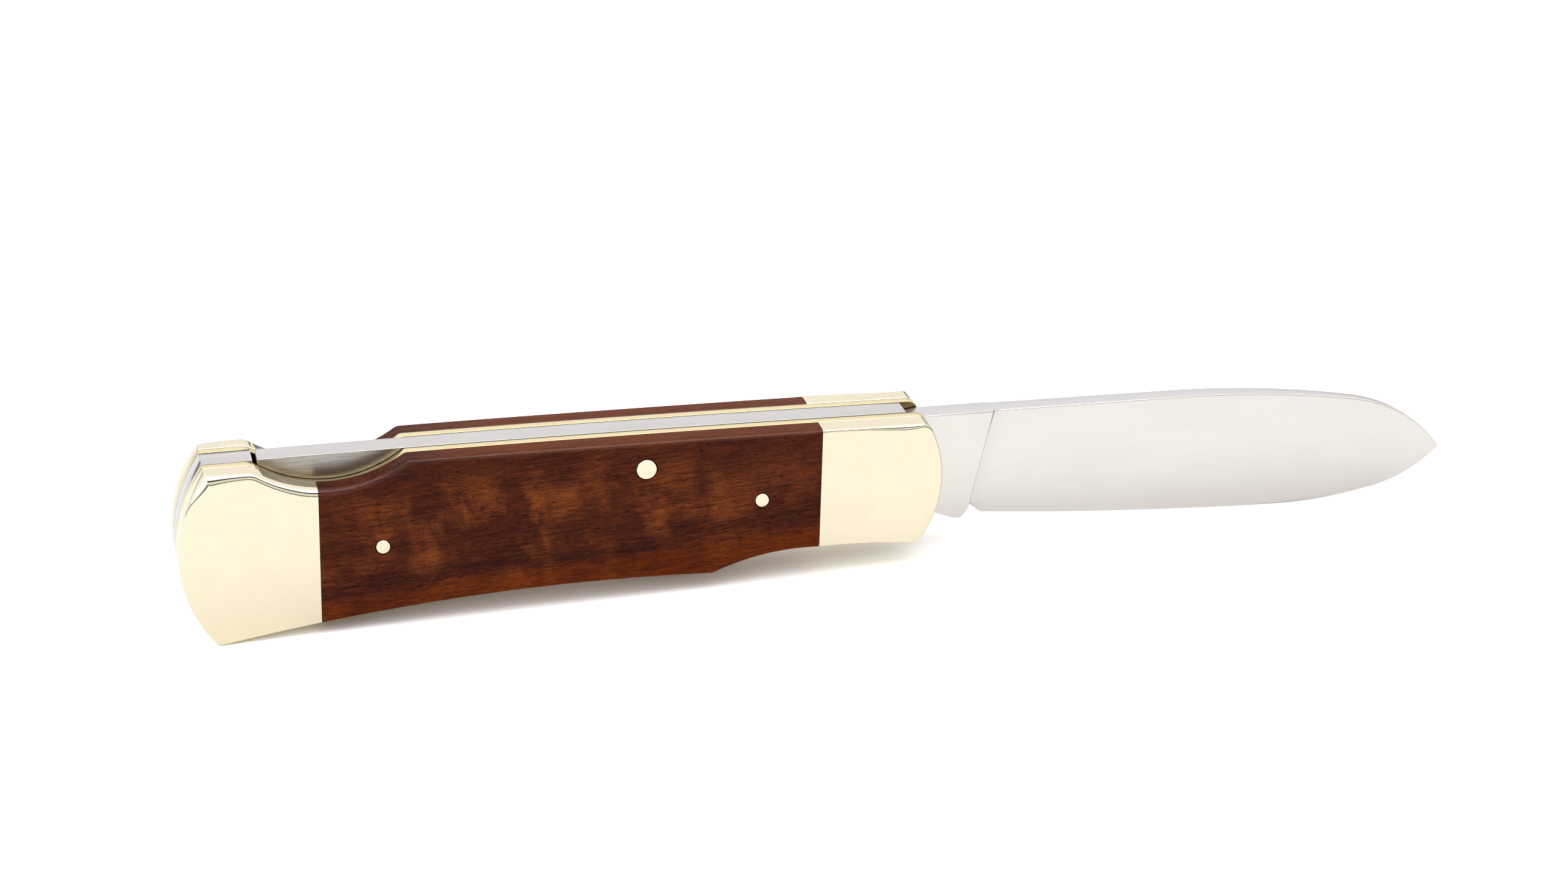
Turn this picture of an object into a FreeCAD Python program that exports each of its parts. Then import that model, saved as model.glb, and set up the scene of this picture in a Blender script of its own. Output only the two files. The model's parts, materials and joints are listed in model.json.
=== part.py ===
"""Lock-back folding pocket knife, open, as an assembly of separate pieces. Lengths are in millimetres.

Every piece is drawn in the handle's own frame: X runs forward along the spine from the butt's upper corner,
Z is height above the spine and Y runs across the knife, from its right side to its left. The last step
stands the knife up as it rests on a table, on the butt's lower corner and the blade's belly, with Z = 0 on
the table.
"""

import FreeCAD, Part
import math
import os
import re
from enum import IntEnum

import Sketcher
from FreeCAD import Placement, Rotation, Vector

SIZES = {
    # Handle, seen from the side
    "handle_length": 104.1,
    "spine_rise": 0.38,
    "rear_bolster_length": 15.3,
    "front_bolster_length": 17.9,
    "butt_corner_radius": 0.9,
    "butt_middle_reach": 3.95,
    "butt_middle_depth": 11.6,
    "butt_toe_setback": 1.1,
    "butt_toe_depth": 25.7,
    "hollow_rise": 1.98,
    "swell_setback": 33.4,
    "swell_depth": 20.75,
    "front_joint_depth": 17.95,
    "front_toe_depth": 18.7,
    "front_nose_depth": 8.6,
    "front_radius": 16.9,
    "front_upper_radius": 1.7,
    "front_lower_radius": 1.8,
    "notch_start": 6.6,
    "notch_length": 21.0,
    "notch_depth": 3.2,
    "notch_lead_radius": 3.0,
    "notch_exit_radius": 1.5,
    # Layers across the handle
    "stock_thickness": 3.5,
    "side_play": 0.2,
    "liner_thickness": 1.3,
    "cover_thickness": 3.05,
    "scale_edge_radius": 0.8,
    "bolster_edge_radius": 0.6,
    # Blade
    "blade_length": 79.2,
    "blade_depth": 19.3,
    "spine_drop": 0.83,
    "ricasso_depth": 15.2,
    "kick_length": 4.2,
    "kick_depth": 16.6,
    "kick_heel_run": 1.0,
    "kick_heel_depth": 15.7,
    "choil_run": 0.55,
    "choil_depth": 14.8,
    "edge_heel_run": 2.3,
    "edge_heel_depth": 16.7,
    "tang_radius": 4.0,
    "shoulder_depth": 0.4,
    "shoulder_top_setback": 1.6,
    "plunge_angle": 11.6,
    "edge_thickness": 0.4,
    "ground_spine_thickness": 3.0,
    # Blade pivot
    "pivot_setback": 8.1,
    "pivot_depth": 11.3,
    "pivot_diameter": 4.0,
    "washer_width": 1.8,
    # Lock bar
    "bar_front_setback": 4.4,
    "bar_front_gap": 0.25,
    "bar_tail_gap": 0.6,
    "bar_tail_depth": 4.0,
    "bar_taper_length": 30.0,
    "bar_pin_distance": 61.0,
    "bar_pin_depth": 3.8,
    "bar_pin_diameter": 2.9,
    "bar_boss_wall": 1.5,
    "tooth_length": 3.2,
    "tooth_drop": 0.7,
    "tooth_clearance": 0.2,
    # Back spacer and lock spring
    "spacer_length": 6.9,
    "spacer_rivet_diameter": 2.4,
    "spacer_rivet_distance": 2.2,
    "upper_rivet_depth": 4.2,
    "lower_rivet_height": 6.7,
    "spring_thickness": 1.0,
    "spring_side_gap": 0.35,
    "spring_seat_length": 7.5,
    "spring_seat_depth": 9.0,
    "spring_bend_gap": 1.3,
    "spring_arm_length": 14.0,
    "spring_touch_gap": 0.05,
    # Pins of the covers
    "scale_pin_diameter": 2.0,
    "rear_scale_pin_inset": 8.7,
    "rear_scale_pin_depth": 12.5,
    "front_scale_pin_inset": 8.5,
    "front_scale_pin_depth": 9.95,
    "bolster_rivet_diameter": 2.0,
    "upper_bolster_rivet_inset": 3.9,
    "upper_bolster_rivet_depth": 4.5,
    "lower_bolster_rivet_setback": 5.0,
    "lower_bolster_rivet_height": 3.2,
    # Fits
    "running_clearance": 0.04,
    "seat_clearance": 0.01,
    "cut_overrun": 2.0,
}

# Middle points of the arcs in the handle's lower outline: the share along the stretch from the butt's toe to
# the swell, and the shares along and down from the front joint to the swell and to the front toe
HOLLOW_SHARE = 0.54
SWEEP_SHARES = (0.58, 0.25)
SOLE_SHARES = (0.5, 0.13)

# Blade outline from the end of the straight spine round the point to the lowest part of the belly: each place
# is a share of the blade's length and of its depth, and each pair is an arc's middle point and its end
STRAIGHT_SPINE_SHARES = (0.453, 0.006)
POINT_OUTLINE_SHARES = (
    ((0.643, 0.043), (0.807, 0.133)),
    ((0.914, 0.294), (1.000, 0.610)),
    ((0.942, 0.796), (0.857, 0.921)),
    ((0.769, 0.982), (0.674, 1.000)),
)
MIDDLE_EDGE_SHARES = (0.407, 0.960)

# Stations of the flat grind: share of the way from plunge line to point, share of the ground spine's
# thickness, and share of the blade's depth at which the edge's thickness is reached
GRIND_STATION_SHARES = (
    (0.00, 1.00, 0.86),
    (0.63, 0.80, 1.02),
    (0.85, 0.63, 0.97),
    (1.06, 0.40, 0.62),
)

# How far the volume that a rounded rim takes away may lie from that of a straight one
RIM_VOLUME_SHARES = (0.9, 1.1)

X_AXIS = Vector(1, 0, 0)
Y_AXIS = Vector(0, 1, 0)
Z_AXIS = Vector(0, 0, 1)
ACROSS = Rotation(X_AXIS, 90)
TILT_SAMPLES = 400
SIDES = {"right": -1, "left": 1}

# How a sketch numbers its axes and the points of one of its lines or arcs
SketchAxis = IntEnum("SketchAxis", "VERTICAL HORIZONTAL", start=-2)
SketchPoint = IntEnum("SketchPoint", "START END CENTRE")

# Places along and across the handle that several pieces share, written in the sizes
FRONT_JOINT = "(handle_length - front_bolster_length)"
HALF_STOCK = "(stock_thickness / 2)"
HALF_GAP = f"({HALF_STOCK} + side_play)"
LINER_FACE = f"({HALF_GAP} + liner_thickness)"
OUTER_FACE = f"({LINER_FACE} + cover_thickness)"
PIVOT = ("handle_length - pivot_setback", "-pivot_depth")
BUTT_HEAD = ("0", "0")
FRONT_CENTRE = "(handle_length - front_radius)"
FRONT_HEAD = (f"({FRONT_CENTRE} + sqrt(front_radius ^ 2 - front_nose_depth ^ 2))", "0")
FRONT_TOE = (
    f"({FRONT_CENTRE} + sqrt(front_radius ^ 2 - (front_toe_depth - front_nose_depth) ^ 2))",
    "-front_toe_depth",
)
BAR_FRONT = "(handle_length - bar_front_setback)"
BAR_TAIL = "(spacer_length + bar_tail_gap)"
BAR_PIN = ("bar_pin_distance", "-bar_pin_depth")
TOOTH_DEPTH = "(pivot_depth - tang_radius - tooth_clearance)"
KICK_HEEL = "(handle_length + kick_length + kick_heel_run)"
CHOIL = f"({KICK_HEEL} + choil_run)"
PLUNGE = f"({CHOIL} + choil_depth * tan(plunge_angle))"
SPACER_RIVETS = {
    "upper": ("spacer_rivet_distance", "-upper_rivet_depth"),
    "lower": ("spacer_rivet_distance", "lower_rivet_height - butt_toe_depth"),
}
SCALE_PINS = {
    "rear": ("rear_bolster_length + rear_scale_pin_inset", "-rear_scale_pin_depth"),
    "front": (f"{FRONT_JOINT} - front_scale_pin_inset", "-front_scale_pin_depth"),
}
BOLSTER_RIVETS = {
    "upper": (f"{FRONT_JOINT} + upper_bolster_rivet_inset", "-upper_bolster_rivet_depth"),
    "lower": ("handle_length - lower_bolster_rivet_setback", "lower_bolster_rivet_height - front_toe_depth"),
}


def on_spine(along):
    """A place on the gently bowed spine, at a distance from the butt written in sizes."""
    share = f"(({along}) / {FRONT_HEAD[0]})"
    return along, f"4 * spine_rise * {share} * (1 - {share})"


def halfway(start, end):
    """The place on the spine midway between two distances from the butt."""
    return on_spine(f"(({start}) + ({end})) / 2")


NOTCH_REAR = on_spine("notch_start")
NOTCH_FRONT = on_spine("(notch_start + notch_length)")

doc = FreeCAD.newDocument("pocket_knife")
sheet = doc.addObject("Spreadsheet::Sheet", "sizes")
pieces = []


def fill_sheet():
    """Write every driving size into the sheet, one alias to a row."""
    for row, (name, size) in enumerate(SIZES.items(), start=1):
        sheet.set(f"A{row}", name)
        sheet.set(f"B{row}", str(size))
        sheet.setAlias(f"B{row}", name)
    doc.recompute()


def formula(text):
    """Turn the size names in a text into references to the sheet's cells."""
    return re.sub(r"[a-z_]+", lambda word: f"sizes.{word[0]}" if word[0] in SIZES else word[0], text)


def value(text):
    """Work out a text of size names as a number."""
    result = sheet.evalExpression(formula(text))
    return float(getattr(result, "Value", result))


def point(place):
    """Work out a pair of texts as a point of a sketch."""
    return Vector(value(place[0]), value(place[1]), 0)


class Profile:
    """A sketch in a plane of its body, with every corner, arc and circle bound to the sheet."""

    def __init__(self, body, name, role="XZ_Plane", offset="0"):
        plane = next(feature for feature in body.Origin.OriginFeatures if feature.Role == role)
        self.sketch = body.newObject("Sketcher::SketchObject", name)
        self.sketch.AttachmentSupport = [(plane, "")]
        self.sketch.MapMode = "FlatFace"
        self.sketch.setExpression("AttachmentOffset.Base.z", formula(offset))

    def bind(self, geometry, position, place):
        """Hold one point of the sketch at a place written in sizes."""
        for kind, axis, text in zip(
            ("DistanceX", "DistanceY"), (SketchAxis.VERTICAL, SketchAxis.HORIZONTAL), place
        ):
            if text == "0":
                self.sketch.addConstraint(Sketcher.Constraint("PointOnObject", geometry, position, axis))
                continue
            origin = (SketchAxis.HORIZONTAL, SketchPoint.START)
            row = self.sketch.addConstraint(
                Sketcher.Constraint(kind, *origin, geometry, position, value(text))
            )
            self.sketch.setExpression(f"Constraints[{row}]", formula(text))

    def outline(self, sides):
        """Draw a closed outline.

        Each side is (end,) for a straight line or (middle, end) for an arc, and starts where the one before
        it ends.
        """
        ends = []
        start = sides[-1][-1]
        for side in sides:
            end = side[-1]
            if len(side) == 1:
                geometry = self.sketch.addGeometry(Part.LineSegment(point(start), point(end)), False)
                ends.append((geometry, SketchPoint.START, SketchPoint.END))
            else:
                ends.append(self.arc(start, side[0], end))
            start = end
        for (before, _, tail), (after, head, _) in zip(ends, ends[1:] + ends[:1]):
            self.sketch.addConstraint(Sketcher.Constraint("Coincident", before, tail, after, head))
        for (geometry, _, tail), side in zip(ends, sides):
            self.bind(geometry, tail, side[-1])
        return self

    def arc(self, start, middle, end):
        """Draw an arc through its middle point and tell which of its ends is which."""
        head, through, tail = point(start), point(middle), point(end)
        bend = Part.Arc(head, through, tail).toShape().Curve
        forward = (through - head).cross(tail - through).z > 0
        angles = [math.atan2(spot.y - bend.Center.y, spot.x - bend.Center.x) for spot in (head, tail)]
        ring = Part.Circle(bend.Center, Z_AXIS, bend.Radius)
        curve = Part.ArcOfCircle(ring, *(angles if forward else reversed(angles)))
        geometry = self.sketch.addGeometry(curve, False)
        mark = self.sketch.addGeometry(Part.Point(through), True)
        self.sketch.addConstraint(Sketcher.Constraint("PointOnObject", mark, SketchPoint.START, geometry))
        self.bind(mark, SketchPoint.START, middle)
        if forward:
            return geometry, SketchPoint.START, SketchPoint.END
        return geometry, SketchPoint.END, SketchPoint.START

    def circle(self, centre, diameter):
        """Draw a circle of a diameter written in sizes."""
        radius = f"({diameter}) / 2"
        ring = Part.Circle(point(centre), Z_AXIS, value(radius))
        geometry = self.sketch.addGeometry(ring, False)
        row = self.sketch.addConstraint(Sketcher.Constraint("Radius", geometry, value(radius)))
        self.sketch.setExpression(f"Constraints[{row}]", formula(radius))
        self.bind(geometry, SketchPoint.CENTRE, centre)
        return self

    def rectangle(self, low, high):
        """Draw an upright rectangle between two opposite corners."""
        return self.outline(
            [((low[0], high[1]),), (high,), ((high[0], low[1]),), (low,)]
        )


def new_body(name):
    """Start a piece that is built from sketches."""
    body = doc.addObject("PartDesign::Body", name)
    body.Label = name
    pieces.append((body, Placement()))
    return body


def pad(body, profile, length):
    """Thicken a profile towards the knife's right side."""
    feature = body.newObject("PartDesign::Pad", f"{body.Label}_pad")
    feature.Profile = profile.sketch
    feature.setExpression("Length", formula(length))
    doc.recompute()


def cut_through(body, profile):
    """Cut a profile right through a piece, both ways."""
    before = body.Shape.Volume
    feature = body.newObject("PartDesign::Pocket", f"{body.Label}_cut")
    feature.Profile = profile.sketch
    feature.Type = "ThroughAll"
    feature.SideType = "Symmetric"
    doc.recompute()
    if body.Shape.Volume >= before:
        raise RuntimeError(f"a cut in {body.Label} took nothing away")


def drill(body, places, diameter):
    """Drill holes across a piece, with one diameter written in sizes."""
    profile = Profile(body, f"{body.Label}_holes")
    for place in places:
        profile.circle(place, diameter)
    cut_through(body, profile)


def round_outer_edges(body, face, radius, square_ends, square_sole=True):
    """Round the rim of a cover's outer face, except where covers butt together and along a square sole."""
    outer = value(face)
    sole = -value("front_joint_depth")
    ends = [value(text) for text in square_ends]
    near = value("seat_clearance")
    rim = {}
    for number, edge in enumerate(body.Shape.Edges, start=1):
        box = edge.BoundBox
        on_face = abs(box.YMin - outer) < near and abs(box.YMax - outer) < near
        on_joint = any(abs(box.XMin - end) < near and abs(box.XMax - end) < near for end in ends)
        on_sole = square_sole and all(corner.Z < sole + near for corner in edge.Vertexes)
        if on_face and not on_joint and not on_sole:
            rim[f"Edge{number}"] = edge.Length
    base = body.Tip
    before = body.Shape.Volume
    feature = body.newObject("PartDesign::Fillet", f"{body.Label}_rim")
    feature.Base = (base, list(rim))
    feature.setExpression("Radius", formula(radius))
    doc.recompute()
    rounded = (1 - math.pi / 4) * value(radius) ** 2 * sum(rim.values())
    low, high = (share * rounded for share in RIM_VOLUME_SHARES)
    if not low < before - body.Shape.Volume < high:
        raise RuntimeError(f"the rim of {body.Label} isn't rounded all the way")


def pin(name, place, diameter, low, high):
    """Make a round pin across the knife, from one Y to another."""
    cylinder = doc.addObject("Part::Cylinder", name)
    cylinder.Label = name
    cylinder.setExpression("Radius", formula(f"({diameter}) / 2"))
    cylinder.setExpression("Height", formula(f"({high}) - ({low})"))
    base = Vector(value(place[0]), value(high), value(place[1]))
    pieces.append((cylinder, Placement(base, ACROSS)))


def layer(side, inner, outer):
    """Lower and upper Y of a layer of one side, from its inner and outer distance to the middle."""
    if SIDES[side] > 0:
        return inner, outer
    return f"-{outer}", f"-{inner}"


def handle_sides(notched):
    """The handle's whole outline from the butt's upper corner, with or without the thumb notch."""
    notch = [
        (NOTCH_REAR,),
        ((f"{NOTCH_REAR[0]} + notch_length / 2", "-notch_depth"), NOTCH_FRONT),
    ]
    spine_start = NOTCH_FRONT if notched else BUTT_HEAD
    front = [
        (halfway(spine_start[0], FRONT_HEAD[0]), FRONT_HEAD),
        (("handle_length", "-front_nose_depth"), FRONT_TOE),
    ]
    swell_x = "(handle_length - swell_setback)"
    sole = (
        f"{FRONT_JOINT} + {SOLE_SHARES[0]} * ({FRONT_TOE[0]} - {FRONT_JOINT})",
        f"-front_joint_depth - {SOLE_SHARES[1]} * (front_toe_depth - front_joint_depth)",
    )
    sweep = (
        f"{FRONT_JOINT} - {SWEEP_SHARES[0]} * ({FRONT_JOINT} - {swell_x})",
        f"-front_joint_depth - {SWEEP_SHARES[1]} * (swell_depth - front_joint_depth)",
    )
    hollow = (
        f"butt_toe_setback + {HOLLOW_SHARE} * ({swell_x} - butt_toe_setback)",
        f"hollow_rise - butt_toe_depth + {HOLLOW_SHARE} * (butt_toe_depth - swell_depth)",
    )
    belly = [
        (sole, (FRONT_JOINT, "-front_joint_depth")),
        (sweep, (swell_x, "-swell_depth")),
        (hollow, ("butt_toe_setback", "-butt_toe_depth")),
    ]
    butt = (("-butt_middle_reach", "-butt_middle_depth"), BUTT_HEAD)
    return (notch if notched else []) + front + belly + [butt]


def round_corner(body, place, radius):
    """Round the corner of a plate that stands at one place of its outline."""
    spot = point(place)
    near = value("seat_clearance")
    names = []
    for number, edge in enumerate(body.Shape.Edges, start=1):
        if all(math.hypot(end.X - spot.x, end.Z - spot.y) < near for end in edge.Vertexes):
            names.append(f"Edge{number}")
    base = body.Tip
    feature = body.newObject("PartDesign::Fillet", f"{body.Label}_corner")
    feature.Base = (base, names)
    feature.setExpression("Radius", formula(radius))
    doc.recompute()


def handle_plate(name, low, high, notched=True):
    """A plate with the handle's whole outline, between two distances across the knife."""
    body = new_body(name)
    profile = Profile(body, f"{name}_outline", offset=f"-({high})")
    profile.outline(handle_sides(notched))
    pad(body, profile, f"({high}) - ({low})")
    round_corner(body, BUTT_HEAD, "butt_corner_radius")
    round_corner(body, FRONT_HEAD, "front_upper_radius")
    round_corner(body, FRONT_TOE, "front_lower_radius")
    if notched:
        round_corner(body, NOTCH_REAR, "notch_lead_radius")
        round_corner(body, NOTCH_FRONT, "notch_exit_radius")
    return body


def trim(body, start, end):
    """Cut away the stretch of a plate between two places along the handle."""
    profile = Profile(body, f"{body.Label}_trim")
    profile.rectangle((start, "-(butt_toe_depth + cut_overrun)"), (end, "cut_overrun"))
    cut_through(body, profile)


def make_liners():
    """Brass plates that carry every pin and line the blade well."""
    for side in SIDES:
        body = handle_plate(f"{side}_liner", *layer(side, HALF_GAP, LINER_FACE))
        drill(body, [PIVOT], "pivot_diameter + 2 * seat_clearance")
        drill(body, [BAR_PIN], "bar_pin_diameter + 2 * seat_clearance")
        drill(body, SPACER_RIVETS.values(), "spacer_rivet_diameter + 2 * seat_clearance")
        drill(body, SCALE_PINS.values(), "scale_pin_diameter + 2 * seat_clearance")
        drill(body, BOLSTER_RIVETS.values(), "bolster_rivet_diameter + 2 * seat_clearance")


def make_covers():
    """Bolsters and wood scales on the outside of the liners, butted end to end."""
    behind = "-(butt_middle_reach + cut_overrun)"
    beyond = "handle_length + cut_overrun"
    for side, sign in SIDES.items():
        low, high = layer(side, LINER_FACE, OUTER_FACE)
        face = f"{sign} * {OUTER_FACE}"

        body = handle_plate(f"{side}_rear_bolster", low, high)
        trim(body, "rear_bolster_length", beyond)
        round_outer_edges(body, face, "bolster_edge_radius", ["rear_bolster_length"])
        drill(body, SPACER_RIVETS.values(), "spacer_rivet_diameter + 2 * seat_clearance")

        body = handle_plate(f"{side}_scale", low, high)
        trim(body, behind, "rear_bolster_length")
        trim(body, FRONT_JOINT, beyond)
        round_outer_edges(body, face, "scale_edge_radius", ["rear_bolster_length", FRONT_JOINT])
        drill(body, SCALE_PINS.values(), "scale_pin_diameter + 2 * seat_clearance")
        drill(body, [BAR_PIN], "bar_pin_diameter + 2 * seat_clearance")

        body = handle_plate(f"{side}_front_bolster", low, high)
        trim(body, behind, FRONT_JOINT)
        round_outer_edges(body, face, "bolster_edge_radius", [FRONT_JOINT], square_sole=False)
        drill(body, [PIVOT], "pivot_diameter + 2 * seat_clearance")
        drill(body, BOLSTER_RIVETS.values(), "bolster_rivet_diameter + 2 * seat_clearance")


def make_back_spacer():
    """Steel block that closes the butt between the liners and holds the root of the lock spring."""
    body = handle_plate("back_spacer", f"-{HALF_GAP}", HALF_GAP, notched=False)
    trim(body, "spacer_length", "handle_length + cut_overrun")
    drill(body, SPACER_RIVETS.values(), "spacer_rivet_diameter + 2 * seat_clearance")
    half_slot = "(spring_thickness / 2 + seat_clearance)"
    slot = Profile(body, "spring_slot")
    slot.rectangle(
        ("spacer_length - spring_seat_length", f"-spring_seat_depth - {half_slot}"),
        ("spacer_length + cut_overrun", f"-spring_seat_depth + {half_slot}"),
    )
    cut_through(body, slot)


def make_lock_spring():
    """Leaf spring: a straight root in the spacer's slot and an arm that rises to the bar's tail."""
    root_x = "spacer_length - spring_seat_length + seat_clearance"
    bend_x = "spacer_length + spring_bend_gap"
    tip_x = f"{bend_x} + spring_arm_length"
    upper = "-spring_seat_depth + spring_thickness / 2"
    lower = "-spring_seat_depth - spring_thickness / 2"
    tip_top = "-bar_tail_depth - spring_touch_gap"
    body = new_body("lock_spring")
    profile = Profile(body, "spring_side", offset=f"spring_side_gap - {HALF_GAP}")
    profile.outline(
        [
            ((bend_x, upper),),
            ((tip_x, tip_top),),
            ((tip_x, f"{tip_top} - spring_thickness"),),
            ((bend_x, lower),),
            ((root_x, lower),),
            ((root_x, upper),),
        ]
    )
    pad(body, profile, f"2 * ({HALF_GAP} - spring_side_gap)")


def make_lock_bar():
    """Rocker bar along the spine: a tooth at its front, a boss round its pin and a thinner tail."""
    under = f"({TOOTH_DEPTH} - tooth_drop)"
    tooth_rear = f"{BAR_FRONT} - tooth_length"
    body = new_body("lock_bar")
    profile = Profile(body, "bar_side", offset=f"-{HALF_STOCK}")
    profile.outline(
        [
            (halfway(BAR_TAIL, BAR_FRONT), on_spine(BAR_FRONT)),
            ((BAR_FRONT, f"-{TOOTH_DEPTH}"),),
            ((tooth_rear, f"-{TOOTH_DEPTH}"),),
            ((f"{tooth_rear} - tooth_drop", f"-{under}"),),
            (("bar_pin_distance", f"-{under}"),),
            (("bar_pin_distance - bar_taper_length", "-bar_tail_depth"),),
            ((BAR_TAIL, "-bar_tail_depth"),),
            (on_spine(BAR_TAIL),),
        ]
    )
    pad(body, profile, "stock_thickness")
    boss = Profile(body, "bar_boss", offset=f"-{HALF_STOCK}")
    boss.circle(BAR_PIN, "bar_pin_diameter + 2 * bar_boss_wall")
    pad(body, boss, "stock_thickness")
    drill(body, [BAR_PIN], "bar_pin_diameter + 2 * running_clearance")


def blade_place(shares):
    """A place on the blade from its shares of the blade's length and depth."""
    return (
        f"handle_length + {shares[0]} * blade_length",
        f"-spine_drop - {shares[1]} * blade_depth",
    )


def point_sides():
    """The curved spine, the point and the cutting edge, back to the edge's heel."""
    heel = (f"{CHOIL} + edge_heel_run", "-spine_drop - edge_heel_depth")
    arcs = [tuple(blade_place(shares) for shares in side) for side in POINT_OUTLINE_SHARES]
    return arcs + [(blade_place(MIDDLE_EDGE_SHARES), heel)]


def tang_sides():
    """The tang: kick, round end on the pivot, step under the bar's tooth and shoulder at the spine."""
    pivot_x, pivot_z = PIVOT
    shoulder_x = f"{BAR_FRONT} + bar_front_gap"
    return [
        ((CHOIL, "-spine_drop - choil_depth"),),
        ((KICK_HEEL, "-spine_drop - kick_heel_depth"),),
        (("handle_length + kick_length", "-spine_drop - kick_depth"),),
        (("handle_length", "-spine_drop - ricasso_depth"),),
        ((pivot_x, f"{pivot_z} - tang_radius"),),
        ((f"{pivot_x} - tang_radius", pivot_z), (pivot_x, f"{pivot_z} + tang_radius")),
        ((shoulder_x, f"{pivot_z} + tang_radius"),),
        ((shoulder_x, "-spine_drop - shoulder_depth"),),
        (("handle_length - shoulder_top_setback", "-spine_drop"),),
        (blade_place(STRAIGHT_SPINE_SHARES),),
    ]


def grind_section(body, number, station):
    """One section of what the flat grind takes off the left side, in a plane parallel to the plunge line."""
    along, thick, deep = station
    top_y = f"({thick} * ground_spine_thickness / 2)"
    edge_y = "(edge_thickness / 2)"
    edge_depth = f"({deep} * blade_depth / cos(plunge_angle))"
    slope = f"(({top_y} - {edge_y}) / {edge_depth})"
    outside = f"{HALF_STOCK} + cut_overrun"
    low = f"-{edge_depth} - cut_overrun"
    profile = Profile(
        body,
        f"grind_{number}",
        role="YZ_Plane",
        offset=f"{PLUNGE} + {along} * (handle_length + blade_length - {PLUNGE})",
    )
    lean = profile.sketch.AttachmentOffset
    lean.Rotation = Rotation(X_AXIS, value("plunge_angle"))
    profile.sketch.AttachmentOffset = lean
    profile.sketch.setExpression("AttachmentOffset.Base.y", formula("-spine_drop"))
    profile.sketch.setExpression("AttachmentOffset.Rotation.Angle", formula("plunge_angle"))
    profile.outline(
        [
            ((outside, "cut_overrun"),),
            ((outside, low),),
            ((f"{edge_y} - {slope} * cut_overrun", low),),
            ((f"{top_y} + {slope} * cut_overrun", "cut_overrun"),),
        ]
    )
    return profile.sketch


def make_blade():
    """Drop-point blade: full stock at the tang and ricasso, flat ground on both sides past the plunge."""
    body = new_body("blade")
    profile = Profile(body, "blade_side", offset=f"-{HALF_STOCK}")
    profile.outline(point_sides() + tang_sides())
    pad(body, profile, "stock_thickness")
    drill(body, [PIVOT], "pivot_diameter + 2 * running_clearance")

    before = body.Shape.Volume
    sections = [grind_section(body, number, each) for number, each in enumerate(GRIND_STATION_SHARES)]
    grind = body.newObject("PartDesign::SubtractiveLoft", "left_grind")
    grind.Profile = sections[0]
    grind.Sections = sections[1:]
    grind.Ruled = True
    doc.recompute()
    one_side = before - body.Shape.Volume

    mirror = body.newObject("PartDesign::Mirrored", "both_grinds")
    mirror.Originals = [grind]
    plane = next(feature for feature in body.Origin.OriginFeatures if feature.Role == "XZ_Plane")
    mirror.MirrorPlane = (plane, [""])
    body.Tip = mirror
    doc.recompute()
    both_sides = before - body.Shape.Volume
    if one_side <= 0 or both_sides <= one_side:
        raise RuntimeError("the flat grind is missing from a side of the blade")


def make_washers():
    """Thin bronze washers that fill the play between the tang and the liners."""
    for side in SIDES:
        inner = f"({HALF_STOCK} + seat_clearance)"
        outer = f"({HALF_GAP} - seat_clearance)"
        low, high = layer(side, inner, outer)
        body = new_body(f"{side}_pivot_washer")
        profile = Profile(body, f"{side}_washer_ring", offset=f"-({high})")
        profile.circle(PIVOT, "pivot_diameter + 2 * washer_width")
        profile.circle(PIVOT, "pivot_diameter + 2 * running_clearance")
        pad(body, profile, f"({high}) - ({low})")


def make_pins():
    """Pins and rivets, all ground flush with the faces they end in."""
    pin("pivot_pin", PIVOT, "pivot_diameter", f"-{OUTER_FACE}", OUTER_FACE)
    pin("lock_bar_pin", BAR_PIN, "bar_pin_diameter", f"-{OUTER_FACE}", OUTER_FACE)
    for height, place in SPACER_RIVETS.items():
        pin(f"{height}_spacer_rivet", place, "spacer_rivet_diameter", f"-{OUTER_FACE}", OUTER_FACE)
    for side in SIDES:
        low, high = layer(side, HALF_GAP, OUTER_FACE)
        for end, place in SCALE_PINS.items():
            pin(f"{side}_{end}_scale_pin", place, "scale_pin_diameter", low, high)
        for height, place in BOLSTER_RIVETS.items():
            pin(f"{side}_{height}_bolster_rivet", place, "bolster_rivet_diameter", low, high)


def standing_placement():
    """How the knife stands: on the butt's lower corner and the blade's belly, centred over the origin."""
    corner = Vector(value("butt_toe_setback"), 0, -value("butt_toe_depth"))
    blade = doc.getObject("blade").Shape
    outline = [spot for edge in blade.Edges for spot in edge.discretize(Number=TILT_SAMPLES)]
    rise = min(math.atan2(spot.z - corner.z, spot.x - corner.x) for spot in outline)
    turn = Rotation(Y_AXIS, math.degrees(rise))
    upright = Placement(-turn.multVec(corner), turn)
    lengths = []
    for body, _ in pieces:
        stood = body.Shape.copy()
        stood.Placement = upright.multiply(stood.Placement)
        box = stood.optimalBoundingBox(False)
        lengths += [box.XMin, box.XMax]
    middle = (min(lengths) + max(lengths)) / 2
    return Placement(Vector(-middle, 0, 0), Rotation()).multiply(upright)


def stand_up():
    """Give every piece its place in the standing knife."""
    for body, local in pieces:
        body.Placement = local
    doc.recompute()
    standing = standing_placement()
    for body, local in pieces:
        body.Placement = standing.multiply(local)
    doc.recompute()
    return standing


def check_and_export():
    """Stop on any failed object, then write one STEP file for each piece."""
    for item in doc.Objects:
        if "Invalid" in item.State or "Error" in item.State:
            raise RuntimeError(f"{item.Label} failed: {item.State}")
    for body, _ in pieces:
        if body.Shape.isNull() or not body.Shape.isValid():
            raise RuntimeError(f"{body.Label} has no valid shape")
    os.makedirs("parts", exist_ok=True)
    for body, _ in pieces:
        body.Shape.exportStep(os.path.join("parts", f"{body.Label}.step"))
        print(f"{body.Label}: {len(body.Shape.Solids)} solid, {body.Shape.Volume:.1f} mm3")


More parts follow.
